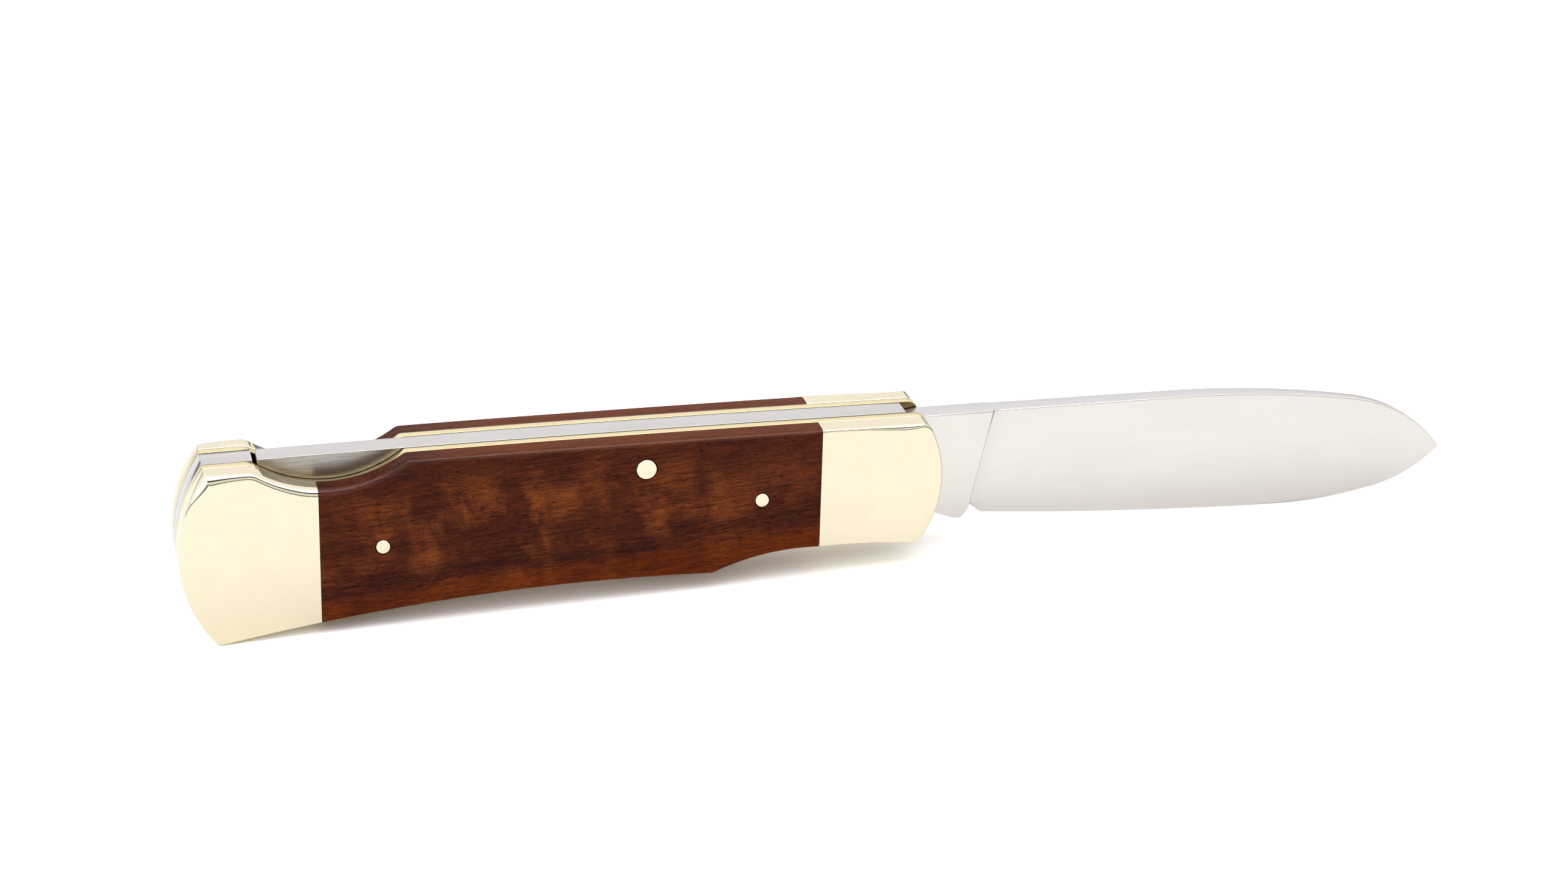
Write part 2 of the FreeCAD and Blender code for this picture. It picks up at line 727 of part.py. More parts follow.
def print_axes(standing):
    """Print where the two hinges lie in the standing knife."""
    print(f"lean of the handle: {math.degrees(standing.Rotation.Angle):.3f} degrees")
    for name, place in (("blade pivot", PIVOT), ("lock bar pin", BAR_PIN)):
        spot = standing.multVec(Vector(value(place[0]), 0, value(place[1])))
        print(f"{name}: x {spot.x:.4f}, z {spot.z:.4f}")


fill_sheet()
make_liners()
make_covers()
make_back_spacer()
make_lock_spring()
make_lock_bar()
make_blade()
make_washers()
make_pins()
standing = stand_up()
check_and_export()
print_axes(standing)
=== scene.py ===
"""Open lock-back folding knife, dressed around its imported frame.

Sizes are in millimetres, in the handle's own frame: X runs forward along the spine from the butt's upper
corner, Z is height above the spine, and Y runs across the knife from its right side to its left. A finished
piece is carried into the row frame, in metres, by its stance.
"""

import json
import logging
import math
from contextlib import contextmanager
from dataclasses import dataclass, replace
from enum import Enum
from typing import Iterator, Sequence

import bmesh
import bpy
import numpy as np
from mathutils import Matrix, Vector


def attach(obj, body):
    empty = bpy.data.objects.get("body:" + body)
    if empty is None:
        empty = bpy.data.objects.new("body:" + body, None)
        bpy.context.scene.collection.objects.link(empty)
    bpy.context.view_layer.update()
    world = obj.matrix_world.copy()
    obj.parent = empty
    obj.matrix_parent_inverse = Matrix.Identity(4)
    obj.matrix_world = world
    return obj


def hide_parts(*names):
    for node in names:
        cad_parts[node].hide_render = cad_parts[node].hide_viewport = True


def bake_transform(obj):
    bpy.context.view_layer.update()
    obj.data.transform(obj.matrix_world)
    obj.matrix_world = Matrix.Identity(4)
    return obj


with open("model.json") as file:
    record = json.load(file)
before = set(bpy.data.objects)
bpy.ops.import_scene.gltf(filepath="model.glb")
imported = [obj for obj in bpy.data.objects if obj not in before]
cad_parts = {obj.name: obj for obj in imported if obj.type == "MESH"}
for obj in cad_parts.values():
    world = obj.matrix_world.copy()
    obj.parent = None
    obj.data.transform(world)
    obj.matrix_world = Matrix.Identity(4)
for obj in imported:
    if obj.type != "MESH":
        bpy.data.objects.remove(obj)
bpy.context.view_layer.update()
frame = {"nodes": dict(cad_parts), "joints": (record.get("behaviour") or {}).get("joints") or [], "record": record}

log = logging.getLogger("pocket_knife")

MM = 0.001
# Step between the places of a fine run, and the fewest places in one.
FINE = 0.01
FEWEST = 8
# A corner's rounding is sought within this many radii, or as far as for the smallest radius.
CORNER_SEARCH = 9
CORNER_SMALLEST = 0.3
# Places nearer to each other than this are one, and those nearer to a saw cut than this lie on it.
TOUCH = 1e-4
ON_CUT = 1e-3
# Sides of a round pin or hole.
ROUND_SIDES = 72
# How far in from its outline a plate's faces start, in radii of its edges.
SUPPORT = 1.3
# Mesh attribute that says how far a corner faces the knife's side.
FACING = "facing"

Point = tuple[float, float]
Colour = tuple[float, float, float, float]
Feeds = dict[int | str, object]


class Side(Enum):
    """The two sides of the knife, by the sign of Y."""

    RIGHT = -1
    LEFT = 1


class Brush(Enum):
    """Which way a steel surface was brushed, as stretches of its grain along X, Y and Z."""

    LENGTHWISE = (0.035, 9.0, 9.0)
    UPRIGHT = (7.0, 7.0, 0.12)


# Outlines

def places_in(length: float) -> int:
    """How many places a fine run of some length has."""
    return max(FEWEST, int(length / FINE))


def on_circle(centre: Sequence[float], radius: float, angles: np.ndarray) -> np.ndarray:
    """Places at angles round a circle."""
    return np.array(centre) + radius * np.column_stack([np.cos(angles), np.sin(angles)])


def swept(centre: np.ndarray, radius: float, first: float, sweep: float) -> np.ndarray:
    """A fine run along an arc, from its first angle on through its sweep."""
    return on_circle(centre, radius, first + sweep * np.linspace(0, 1, places_in(abs(sweep) * radius)))


def arc_run(start: Point, middle: Point, end: Point) -> np.ndarray:
    """Sample the arc through three places finely.

    Args:
        start: where the arc begins.
        middle: a place that it passes.
        end: where it ends.

    Returns:
        Places along the arc, a hundredth of a millimetre apart.
    """
    (ax, az), (bx, bz), (cx, cz) = start, middle, end
    twice = 2 * (ax * (bz - cz) + bx * (cz - az) + cx * (az - bz))
    a2, b2, c2 = ax * ax + az * az, bx * bx + bz * bz, cx * cx + cz * cz
    centre = np.array([
        (a2 * (bz - cz) + b2 * (cz - az) + c2 * (az - bz)) / twice,
        (a2 * (cx - bx) + b2 * (ax - cx) + c2 * (bx - ax)) / twice,
    ])
    radius = math.hypot(ax - centre[0], az - centre[1])
    first, mid, last = (math.atan2(z - centre[1], x - centre[0]) for x, z in (start, middle, end))
    sweep = (last - first) % math.tau
    if (mid - first) % math.tau > sweep:
        sweep -= math.tau
    return swept(centre, radius, first, sweep)


def line_run(start: Point, end: Point) -> np.ndarray:
    """Sample a straight stretch finely, from its start to its end."""
    return np.linspace(np.array(start, float), np.array(end, float), places_in(math.dist(start, end)))


def line_runs(corners: Sequence[Point]) -> list[np.ndarray]:
    """Straight runs from corner to corner."""
    return [line_run(here, there) for here, there in zip(corners, corners[1:])]


def right_of(ahead: np.ndarray) -> np.ndarray:
    """Unit normals to the right of each step."""
    ahead = ahead / np.linalg.norm(ahead, axis=1)[:, None]
    return np.column_stack([ahead[:, 1], -ahead[:, 0]])


def inward(run: np.ndarray, closed: bool = True) -> np.ndarray:
    """Unit normals that point into a piece whose outline runs forward along the spine and back below.

    Args:
        run: places along the outline.
        closed: whether the last place joins the first.

    Returns:
        One normal for each place.
    """
    if closed:
        return right_of(np.roll(run, -1, axis=0) - np.roll(run, 1, axis=0))
    return right_of(np.gradient(run, axis=0))


def round_corner(before: np.ndarray, after: np.ndarray, radius: float) -> tuple[np.ndarray, np.ndarray]:
    """Round the corner between two runs of an outline.

    Args:
        before: the run that ends in the corner.
        after: the run that starts there.
        radius: radius of the rounding.

    Returns:
        The first run with the rounding at its end, and the trimmed second run.
    """
    reach = int(CORNER_SEARCH * max(radius, CORNER_SMALLEST) / FINE)
    near, far = before[-reach:], after[:reach]
    centres = near + radius * inward(near, closed=False)
    gaps = np.linalg.norm(centres[:, None] - far[None], axis=2).min(axis=1)
    touching = np.flatnonzero(gaps >= radius)
    index = int(touching[-1]) if len(touching) else 0
    centre = centres[index]
    landing = int(np.linalg.norm(far - centre, axis=1).argmin())
    first, last = (math.atan2(*(place - centre)[::-1]) for place in (near[index], far[landing]))
    arc = swept(centre, radius, first, (last - first + math.pi) % math.tau - math.pi)
    return np.vstack([before[: len(before) - len(near) + index], arc]), after[landing + 1:]


def thin_out(run: np.ndarray, turn: float = 2.5, reach: float = 1.5) -> np.ndarray:
    """Keep only the places that an outline needs to look smooth.

    Args:
        run: finely sampled outline.
        turn: degrees that the line may turn between kept places.
        reach: furthest distance between kept places.

    Returns:
        The kept places.
    """
    ahead = np.diff(run, axis=0)
    heading = np.unwrap(np.arctan2(ahead[:, 1], ahead[:, 0]))
    steps = np.linalg.norm(ahead, axis=1)
    kept = [0]
    walked = 0.0
    for index in range(1, len(run) - 1):
        walked += steps[index - 1]
        if walked >= reach or abs(heading[index] - heading[kept[-1]]) >= math.radians(turn):
            kept.append(index)
            walked = 0.0
    return run[kept]


def joined(runs: Sequence[np.ndarray], radii: dict[int, float]) -> np.ndarray:
    """Join runs into one line, without doubled places.

    Args:
        runs: the runs in order, each starting where the one before ends.
        radii: rounding at the end of each numbered run.

    Returns:
        The line's places.
    """
    parts = list(runs)
    for index, radius in radii.items():
        following = (index + 1) % len(parts)
        parts[index], parts[following] = round_corner(parts[index], parts[following], radius)
    whole = np.vstack(parts)
    steps = np.linalg.norm(np.diff(whole, axis=0), axis=1)
    return whole[np.concatenate([[True], steps > FINE / 20])]


def closed_outline(runs: Sequence[np.ndarray], radii: dict[int, float], **thinning: float) -> np.ndarray:
    """Join runs into one closed outline that is thinned out, without its first place repeated."""
    whole = joined(runs, radii)
    return thin_out(np.vstack([whole, whole[:1]]), **thinning)


def corner_outline(corners: Sequence[Point], radius: float, **thinning: float) -> np.ndarray:
    """Outline of straight sides whose corners are all rounded alike where they turn inwards.

    Args:
        corners: the corners in order.
        radius: their rounding.
        thinning: what thin_out takes.

    Returns:
        The outline's places.
    """
    runs = line_runs([*corners, corners[0]])
    sides = [run[-1] - run[0] for run in runs]
    turns = [here[0] * there[1] - here[1] * there[0] for here, there in zip(sides, sides[1:] + sides[:1])]
    return closed_outline(runs, {n: radius for n, turn in enumerate(turns) if turn < 0}, **thinning)


def mitre(outline: np.ndarray) -> np.ndarray:
    """Steps that move each place of an outline one millimetre in from both of its sides.

    Args:
        outline: places round the outline.

    Returns:
        One step for each place.
    """
    after = right_of(np.roll(outline, -1, axis=0) - outline)
    before = np.roll(after, 1, axis=0)
    return (before + after) / (1 + (before * after).sum(axis=1))[:, None]


def at_depth(outline: np.ndarray, across: float | np.ndarray) -> np.ndarray:
    """Set an outline at a distance across the knife, as places in three directions."""
    return np.column_stack([outline[:, 0], np.broadcast_to(across, len(outline)), outline[:, 1]])


def eased(share: np.ndarray) -> np.ndarray:
    """Shares from nought to one that start and end gently."""
    return share * share * (3 - 2 * share)


@dataclass
class Stance:
    """How the handle's own frame lies in the row frame, from the two hinges that both know."""

    blade_pivot: Point = (96.0, -11.3)
    bar_pin: Point = (61.0, -3.8)

    def __post_init__(self) -> None:
        """Work out the lean and the origin."""
        hinges = {joint["name"]: joint["pos_m"] for joint in frame["joints"]}
        ahead, behind = hinges["blade_pivot"], hinges["lock_bar_rocker"]
        drawn = math.atan2(self.blade_pivot[1] - self.bar_pin[1], self.blade_pivot[0] - self.bar_pin[0])
        packed = math.atan2(ahead[2] - behind[2], ahead[0] - behind[0])
        self.lean = drawn - packed
        turn = Matrix.Rotation(self.lean, 4, "Y") @ Matrix.Scale(MM, 4)
        carried = turn @ Vector((self.blade_pivot[0], 0, self.blade_pivot[1]))
        self.origin = Vector(ahead) - carried
        self.matrix = Matrix.Translation(self.origin) @ turn


STANCE = Stance()


# The bench

class Workpiece:
    """A mesh on the bench, shaped in millimetres and then carried to its place."""

    def __init__(self, name: str) -> None:
        """Put the active object on the bench.

        Args:
            name: name of the piece.
        """
        self.obj = bpy.context.object
        self.obj.name = name
        self.obj.data.name = name

    @classmethod
    def raised(cls, name: str, rings: Sequence[np.ndarray]) -> "Workpiece":
        """Start from a flat face and extrude it ring by ring.

        Args:
            name: name of the piece.
            rings: places round the first face and then for each ring, all in the same order.

        Returns:
            The piece on the bench.
        """
        before = rings[0]
        bpy.ops.object.select_all(action="DESELECT")
        bpy.ops.mesh.primitive_circle_add(vertices=len(before), fill_type="NGON")
        piece = cls(name)
        piece.obj.data.vertices.foreach_set("co", before.astype(np.float32).ravel())
        with piece.editing():
            bpy.ops.mesh.select_all(action="SELECT")
            for ring in rings[1:]:
                bpy.ops.mesh.extrude_region_move()
                mesh = bmesh.from_edit_mesh(piece.obj.data)
                corners = list(next(face for face in mesh.faces if face.select).verts)
                spots = np.array([corner.co for corner in corners])
                start = int(np.linalg.norm(spots - before[0], axis=1).argmin())
                order = np.roll(np.arange(len(corners)), -start)
                following, preceding = (np.linalg.norm(spots[order[n]] - before[1]) for n in (1, -1))
                if following > preceding:
                    order = np.roll(order[::-1], 1)
                for index, spot in zip(order, ring):
                    corners[index].co = Vector(spot)
                before = ring.astype(np.float32)
            piece.turn_outwards()
        return piece

    def activate(self) -> None:
        """Make the piece the active object and the only selected one."""
        bpy.ops.object.select_all(action="DESELECT")
        self.obj.select_set(True)
        bpy.context.view_layer.objects.active = self.obj

    @contextmanager
    def editing(self) -> Iterator[bmesh.types.BMesh]:
        """Open the mesh in edit mode, alone and with nothing selected.

        Yields:
            The open mesh.
        """
        self.activate()
        bpy.ops.object.mode_set(mode="EDIT")
        bpy.ops.mesh.select_all(action="DESELECT")
        yield bmesh.from_edit_mesh(self.obj.data)
        bmesh.update_edit_mesh(self.obj.data)
        bpy.ops.object.mode_set(mode="OBJECT")

    @staticmethod
    def select(mesh: bmesh.types.BMesh, chosen: Sequence) -> None:
        """Select only some parts of the open mesh.

        Args:
            mesh: the open mesh.
            chosen: its vertices, edges or faces to select.
        """
        bpy.ops.mesh.select_all(action="DESELECT")
        for part in chosen:
            part.select_set(True)
        mesh.select_flush_mode()

    @staticmethod
    def turn_outwards() -> None:
        """Turn all faces of the open mesh outwards."""
        bpy.ops.mesh.select_all(action="SELECT")
        bpy.ops.mesh.normals_make_consistent(inside=False)

    def cut_off(self, along: float, keep_front: bool, width: float) -> None:
        """Saw the piece through across its length, close the cut and take the sharpness off its edges.

        Args:
            along: where the saw goes through.
            keep_front: whether the part ahead of the cut is kept.
            width: width of the break along the cut's edges.
        """
        with self.editing():
            bpy.ops.mesh.select_all(action="SELECT")
            bpy.ops.mesh.bisect(
                plane_co=(along, 0, 0), plane_no=(1, 0, 0), use_fill=True,
                clear_inner=keep_front, clear_outer=not keep_front, threshold=TOUCH / 10,
            )
        with self.editing() as mesh:
            rim = [vertex for vertex in mesh.verts if abs(vertex.co.x - along) < ON_CUT]
            ends = [face for face in mesh.faces if all(abs(v.co.x - along) < ON_CUT for v in face.verts)]
            back = math.copysign(width, sum(v.co.x for v in mesh.verts) / len(mesh.verts) - along)
            self.select(mesh, ends)
            bpy.ops.mesh.inset(thickness=width, use_even_offset=True)
            for vertex in rim:
                vertex.co.x += back

    def modify(self, kind: str, **settings: object) -> None:
        """Add a modifier, set it up and apply it.

        Args:
            kind: its type.
            settings: its settings.
        """
        self.activate()
        bpy.ops.object.modifier_add(type=kind)
        modifier = self.obj.modifiers[-1]
        for name, setting in settings.items():
            setattr(modifier, name, setting)
        bpy.ops.object.modifier_apply(modifier=modifier.name)

    def drill(self, place: Point, radius: float, depth: float) -> None:
        """Drill a round hole across the piece.

        Args:
            place: middle of the hole.
            radius: its radius.
            depth: length of the drill across the knife, centred on the middle plane.
        """
        bpy.ops.object.select_all(action="DESELECT")
        bpy.ops.mesh.primitive_cylinder_add(
            vertices=ROUND_SIDES, radius=radius, depth=depth, location=(place[0], 0, place[1]),
            rotation=(math.pi / 2, 0, 0),
        )
        cutter = bpy.context.object
        self.modify("BOOLEAN", operation="DIFFERENCE", object=cutter, solver="EXACT")
        bpy.data.objects.remove(cutter)

    def finish(self, sharp: float = 32.0) -> bpy.types.Object:
        """Turn the faces outwards, smooth them and carry the piece to its place.

        Args:
            sharp: angle in degrees from which an edge stays sharp.

        Returns:
            The finished object, at the origin with its place in its mesh.
        """
        with self.editing():
            bpy.ops.mesh.select_all(action="SELECT")
            bpy.ops.mesh.remove_doubles(threshold=TOUCH)
            bpy.ops.mesh.dissolve_degenerate(threshold=TOUCH)
            mesh = bmesh.from_edit_mesh(self.obj.data)
            self.select(mesh, [vertex for vertex in mesh.verts if len(vertex.link_edges) == 2])
            bpy.ops.mesh.dissolve_verts()
            self.turn_outwards()
        self.activate()
        bpy.ops.object.shade_smooth_by_angle(angle=math.radians(sharp))
        mesh = self.obj.data
        normals = np.empty(len(mesh.loops) * 3, np.float32)
        mesh.corner_normals.foreach_get("vector", normals)
        facing = mesh.attributes.new(FACING, "FLOAT", "CORNER")
        facing.data.foreach_set("value", np.abs(normals[1::3]))
        mesh.transform(STANCE.matrix)
        mesh.update()
        return self.obj


def plate(name: str, outline: np.ndarray, low: float, high: float, edge: float, steps: int = 3) -> Workpiece:
    """Cut a plate to an outline, with rounded edges on both of its faces.

    Args:
        name: name of the piece.
        outline: its outline.
        low: distance across the knife of its lower face.
        high: distance of its upper face.
        edge: radius of its edges.
        steps: facets of each rounding.

    Returns:
        The plate on the bench.
    """
    inset = mitre(outline)
    turns = np.linspace(0, math.pi / 2, steps + 1)
    foot = [(edge * (1 - math.sin(t)), low + edge * (1 - math.cos(t))) for t in turns]
    head = [(edge * (1 - math.cos(t)), high - edge * (1 - math.sin(t))) for t in turns]
    levels = [(SUPPORT * edge, low), *foot, *head, (SUPPORT * edge, high)]
    return Workpiece.raised(name, [at_depth(outline + step * inset, across) for step, across in levels])


# Shader maths

class Signal:
    """An output of a node that takes part in sums, products and further steps."""

    def __init__(self, recipe: "Recipe", socket: bpy.types.NodeSocket | None) -> None:
        """Wrap a socket of a recipe's tree."""
        self.recipe = recipe
        self.socket = socket

    def out(self, name: str) -> "Signal":
        """Another output of the same node."""
        return Signal(self.recipe, self.socket.node.outputs[name])

    def axes(self) -> "tuple[Signal, Signal, Signal]":
        """Its parts along X, Y and Z."""
        parts = self.recipe.node("ShaderNodeSeparateXYZ", {"Vector": self})
        return parts, parts.out("Y"), parts.out("Z")

    def maths(self, operation: str, first: object, second: object = 0.0) -> "Signal":
        """Join two values by a Math node."""
        return self.recipe.node("ShaderNodeMath", {0: first, 1: second}, {"operation": operation})

    def __add__(self, other: object) -> "Signal":
        """Sum."""
        return self.maths("ADD", self, other)

    def __radd__(self, other: object) -> "Signal":
        """Sum, the other way round."""
        return self.maths("ADD", other, self)

    def __sub__(self, other: object) -> "Signal":
        """Difference."""
        return self.maths("SUBTRACT", self, other)

    def __rsub__(self, other: object) -> "Signal":
        """Difference, the other way round."""
        return self.maths("SUBTRACT", other, self)

    def __mul__(self, other: object) -> "Signal":
        """Product."""
        return self.maths("MULTIPLY", self, other)

    def __rmul__(self, other: object) -> "Signal":
        """Product, the other way round."""
        return self.maths("MULTIPLY", other, self)

    def __gt__(self, other: object) -> "Signal":
        """One where this is the greater."""
        return self.maths("GREATER_THAN", self, other)

    def held(self) -> "Signal":
        """The value held between nought and one."""
        return self.recipe.node("ShaderNodeClamp", {"Value": self})

    def ramp(self, low: float, high: float) -> "Signal":
        """Ease the value from nought at one limit to one at the other."""
        limits = {"Value": self, "From Min": low, "From Max": high}
        return self.recipe.node("ShaderNodeMapRange", limits, {"interpolation_type": "SMOOTHSTEP"})

    def mix(self, first: object, second: object) -> "Signal":
        """Mix two colours, with the value as the share of the second."""
        colours = {"Factor_Float": self, "A_Color": first, "B_Color": second}
        return self.recipe.node("ShaderNodeMix", colours, {"data_type": "RGBA"}, "Result_Color")

    def bump(self, depth: float, strength: float = 1.0) -> "Signal":
        """Relief with the value as its height, of a depth in millimetres."""
        relief = {"Height": self, "Distance": depth * MM, "Strength": strength}
        return self.recipe.node("ShaderNodeBump", relief)

    def noise(
        self, scale: Sequence[float], turn: float = 0.0, shift: float = 0.0,
        detail: float = 2.0, rough: float = 0.5, bend: float = 0.0,
    ) -> "Signal":
        """Noise at this place, turned in the side view and then stretched.

        Args:
            scale: swells to a millimetre along X, Y and Z.
            turn: degrees by which the pattern is turned.
            shift: how many swells it is moved along each direction.
            detail: how many finer layers it has.
            rough: how strong those are.
            bend: how far they distort it.

        Returns:
            Values about one half.
        """
        node, rotation, location = self.recipe.node, (0, math.radians(turn), 0), (shift, shift, shift)
        turned = node("ShaderNodeMapping", {"Vector": self, "Rotation": rotation})
        spot = node("ShaderNodeMapping", {"Vector": turned, "Scale": tuple(scale), "Location": location})
        layers = {"Scale": 1.0, "Detail": detail, "Roughness": rough, "Distortion": bend}
        return node("ShaderNodeTexNoise", {"Vector": spot, **layers})


class Recipe:
    """A node tree that is written down step by step."""

    def __init__(self, tree: bpy.types.NodeTree) -> None:
        """Start with an empty tree."""
        self.tree = tree
        tree.nodes.clear()

    def node(
        self, kind: str, inputs: Feeds | None = None, settings: dict[str, object] | None = None,
        output: int | str = 0,
    ) -> Signal:
        """Make a node.

        Args:
            kind: its type.
            inputs: a value or a link for each named socket.
            settings: its own settings; a ramp's are given as stops.
            output: the output that is wanted.

        Returns:
            That output.
        """
        made = self.tree.nodes.new(kind)
        for name, setting in (settings or {}).items():
            if name == "stops":
                self.set_stops(made.color_ramp, setting)
            else:
                setattr(made, name, setting)
        for name, given in (inputs or {}).items():
            socket = self.pick(made.inputs, name)
            if isinstance(given, Signal):
                self.tree.links.new(given.socket, socket)
            else:
                socket.default_value = given
        return Signal(self, self.pick(made.outputs, output) if made.outputs else None)

    @staticmethod
    def pick(sockets: Sequence, name: int | str) -> bpy.types.NodeSocket:
        """Find a socket by its number, its identifier or its name.

        Args:
            sockets: a node's inputs or outputs.
            name: what the socket goes by.

        Returns:
            The socket.
        """
        if isinstance(name, int):
            return sockets[name]
        return next((each for each in sockets if each.identifier == name), None) or sockets[name]

    @staticmethod
    def set_stops(ramp: bpy.types.ColorRamp, stops: Sequence[tuple[float, Colour]]) -> None:
        """Place a ramp's stops.

        Args:
            ramp: the ramp.
            stops: place and colour of each stop, in order.
        """
        while len(ramp.elements) < len(stops):
            ramp.elements.new(1.0)
        for element, (place, colour) in zip(ramp.elements, stops):
            element.position = place
            element.color = colour

    def place(self) -> Signal:
        """Places over the surface of a piece.

        Returns:
            Millimetres in the handle's own frame.
        """
        stance = {"Location": STANCE.origin, "Rotation": (0, STANCE.lean, 0), "Scale": (MM, MM, MM)}
        spot = self.node("ShaderNodeTexCoord", output="Object")
        return self.node("ShaderNodeMapping", {"Vector": spot, **stance}, {"vector_type": "TEXTURE"})

    def facing(self) -> Signal:
        """One where a surface faces the knife's side, nought where it faces along or up."""
        return self.node("ShaderNodeAttribute", settings={"attribute_name": FACING}, output="Fac")


def grey(level: float) -> Colour:
    """An even grey."""
    return (level, level, level, 1.0)


class Finish:
    """What every finish shares: a material with one shader that its own steps feed."""

    def dress(self, name: str) -> bpy.types.Material:
        """Make the material.

        Args:
            name: its name.

        Returns:
            The material.
        """
        material = bpy.data.materials.new(name)
        material.use_nodes = True
        recipe = Recipe(material.node_tree)
        shader = recipe.node("ShaderNodeBsdfPrincipled", self.feeds(recipe))
        recipe.node("ShaderNodeOutputMaterial", {"Surface": shader})
        return material

    def feeds(self, recipe: Recipe) -> Feeds:
        """What feeds the shader's sockets."""
        raise NotImplementedError


@dataclass(frozen=True)
class PolishedMetal(Finish):
    """Buffed metal with faint clouds, hairline scratches and specks."""

    colour: Colour
    cloud: Colour
    roughness: float = 0.1
    scratch: float = 0.10
    speck: Colour = grey(0.28)
    relief: float = 0.02

    def tint(self, spot: Signal, colour: Signal) -> Signal:
        """The metal's own colour."""
        return colour

    def feeds(self, recipe: Recipe) -> Feeds:
        """Clouds in the colour, scratches and specks in the roughness and the relief.

        Args:
            recipe: the material's tree.

        Returns:
            What feeds the shader's sockets.
        """
        spot = recipe.place()
        clouds = spot.noise((0.25, 0.4, 0.25), detail=3.0).ramp(0.35, 0.7)
        wiped = spot.noise((0.5, 5.0, 9.0), turn=35.0).ramp(0.66, 0.74)
        crossed = spot.noise((0.6, 5.0, 11.0), turn=-52.0, shift=3.0).ramp(0.68, 0.75)
        specks = spot.noise((4.5, 4.5, 4.5), shift=9.0, detail=1.0).ramp(0.77, 0.83)
        marks = ((wiped + crossed) * self.scratch + specks * 0.3).held()
        swell = spot.noise((0.16, 0.3, 0.2), shift=5.0, detail=1.0)
        colour = self.tint(spot, (clouds * 0.6).mix(self.colour, self.cloud))
        return {
            "Base Color": (specks * 0.35).mix(colour, self.speck),
            "Metallic": 1.0,
            "Roughness": self.roughness + clouds * 0.03 + marks * 0.35,
            "Normal": (swell - marks * 0.04).bump(self.relief),
        }


@dataclass(frozen=True)
class BolsterMetal(PolishedMetal):
    """Buffed bolsters, with painted shade towards the sole and a painted dark reflection round the front edge
    beside the blade.
    """

    # Painted shade: the colour ahead of the front corner stands in for the darker blade mirrored there, and the
    # low colour for the shaded table mirrored near the sole.
    front_shade: Colour = (0.60, 0.575, 0.50, 1.0)
    low: Colour = (0.86, 0.775, 0.575, 1.0)
    towards_sole: Point = (-11.0, -27.0)
    past_corner: Point = (100.8, 102.0)

    def tint(self, spot: Signal, colour: Signal) -> Signal:
        """Painted shade towards the sole, and a painted dark reflection ahead of the front corner, away from the
        flat face.

        Args:
            spot: places over the surface.
            colour: the clouded colour.

        Returns:
            The colour as it is seen.
        """
        along, _, up = spot.axes()
        colour = (up.ramp(*self.towards_sole) * 0.8).mix(colour, self.low)
        aside = spot.recipe.facing().ramp(0.985, 0.85)
        return (along.ramp(*self.past_corner) * aside).mix(colour, self.front_shade)


@dataclass(frozen=True)
class LinerBrass(PolishedMetal):
    """Brass polished along its edges, with painted shade on its flat sides, which face the narrow gaps between the
    layers.
    """

    # Painted shade for the flat sides.
    side: Colour = (0.30, 0.20, 0.09, 1.0)

    def tint(self, spot: Signal, colour: Signal) -> Signal:
        """Painted shade on the flat sides."""
        return spot.recipe.facing().ramp(0.8, 0.95).mix(colour, self.side)


@dataclass(frozen=True)
class BrushedSteel(Finish):
    """Satin steel with fine brush lines, soft blotches, a few darker flecks, brighter edges and painted shade on
    its sides.
    """

    colour: Colour
    shade: Colour
    # Painted shade: the side colour and its streaks darken the sides, which face narrow gaps between parts.
    side: Colour
    roughness: float = 0.3
    lines: float = 0.5
    flecked: float = 0.25
    fleck: Colour = grey(0.3)
    streak: Colour = grey(0.2)
    edge_roughness: float = 0.1
    relief: float = 0.012

    def grain(self, spot: Signal) -> Signal:
        """Brush lines of the whole surface, fine ones and broad ones."""
        broad = spot.noise([x * 0.4 for x in Brush.LENGTHWISE.value], shift=2.0)
        return spot.noise(Brush.LENGTHWISE.value, detail=3.0, rough=0.65) * 0.65 + broad * 0.35

    def shading(self, spot: Signal) -> Signal:
        """Soft blotches."""
        return spot.noise((0.07, 0.2, 0.16), turn=8.0, detail=3.0).ramp(0.35, 0.75)

    def tones(self, spot: Signal, tone: Signal) -> Signal:
        """Colour of the top, and the darker painted shade of the sides, which face narrow gaps between parts.

        Args:
            spot: places over the surface.
            tone: how far the colour is shaded.

        Returns:
            The colour.
        """
        streaks = spot.noise((0.25, 2.0, 4.5), shift=8.0, detail=3.0, rough=0.65).ramp(0.35, 0.75)
        side = (streaks * 0.6).mix(self.side, self.streak)
        return spot.recipe.facing().ramp(0.6, 0.95).mix(tone.mix(self.colour, self.shade), side)

    def feeds(self, recipe: Recipe) -> Feeds:
        """Brush lines in the colour, roughness and relief; blotches and flecks in the colour.

        Args:
            recipe: the material's tree.

        Returns:
            What feeds the shader's sockets.
        """
        spot, facing = recipe.place(), recipe.facing()
        grain = self.grain(spot)
        flecks = spot.noise((2.2, 3.0, 3.0), shift=4.0, detail=1.0).ramp(0.74, 0.8)
        tone = (grain.ramp(0.3, 0.7) * self.lines * 0.5 + self.shading(spot) * 0.5).held()
        polish = facing.ramp(0.06, 0.16) * facing.ramp(0.97, 0.93) * (self.roughness - self.edge_roughness)
        return {
            "Base Color": (flecks * self.flecked).mix(self.tones(spot, tone), self.fleck),
            "Metallic": 1.0,
            "Roughness": self.roughness + (grain - 0.5) * 0.25 * self.lines - polish,
            "Normal": grain.bump(self.relief * self.lines, 0.6),
        }


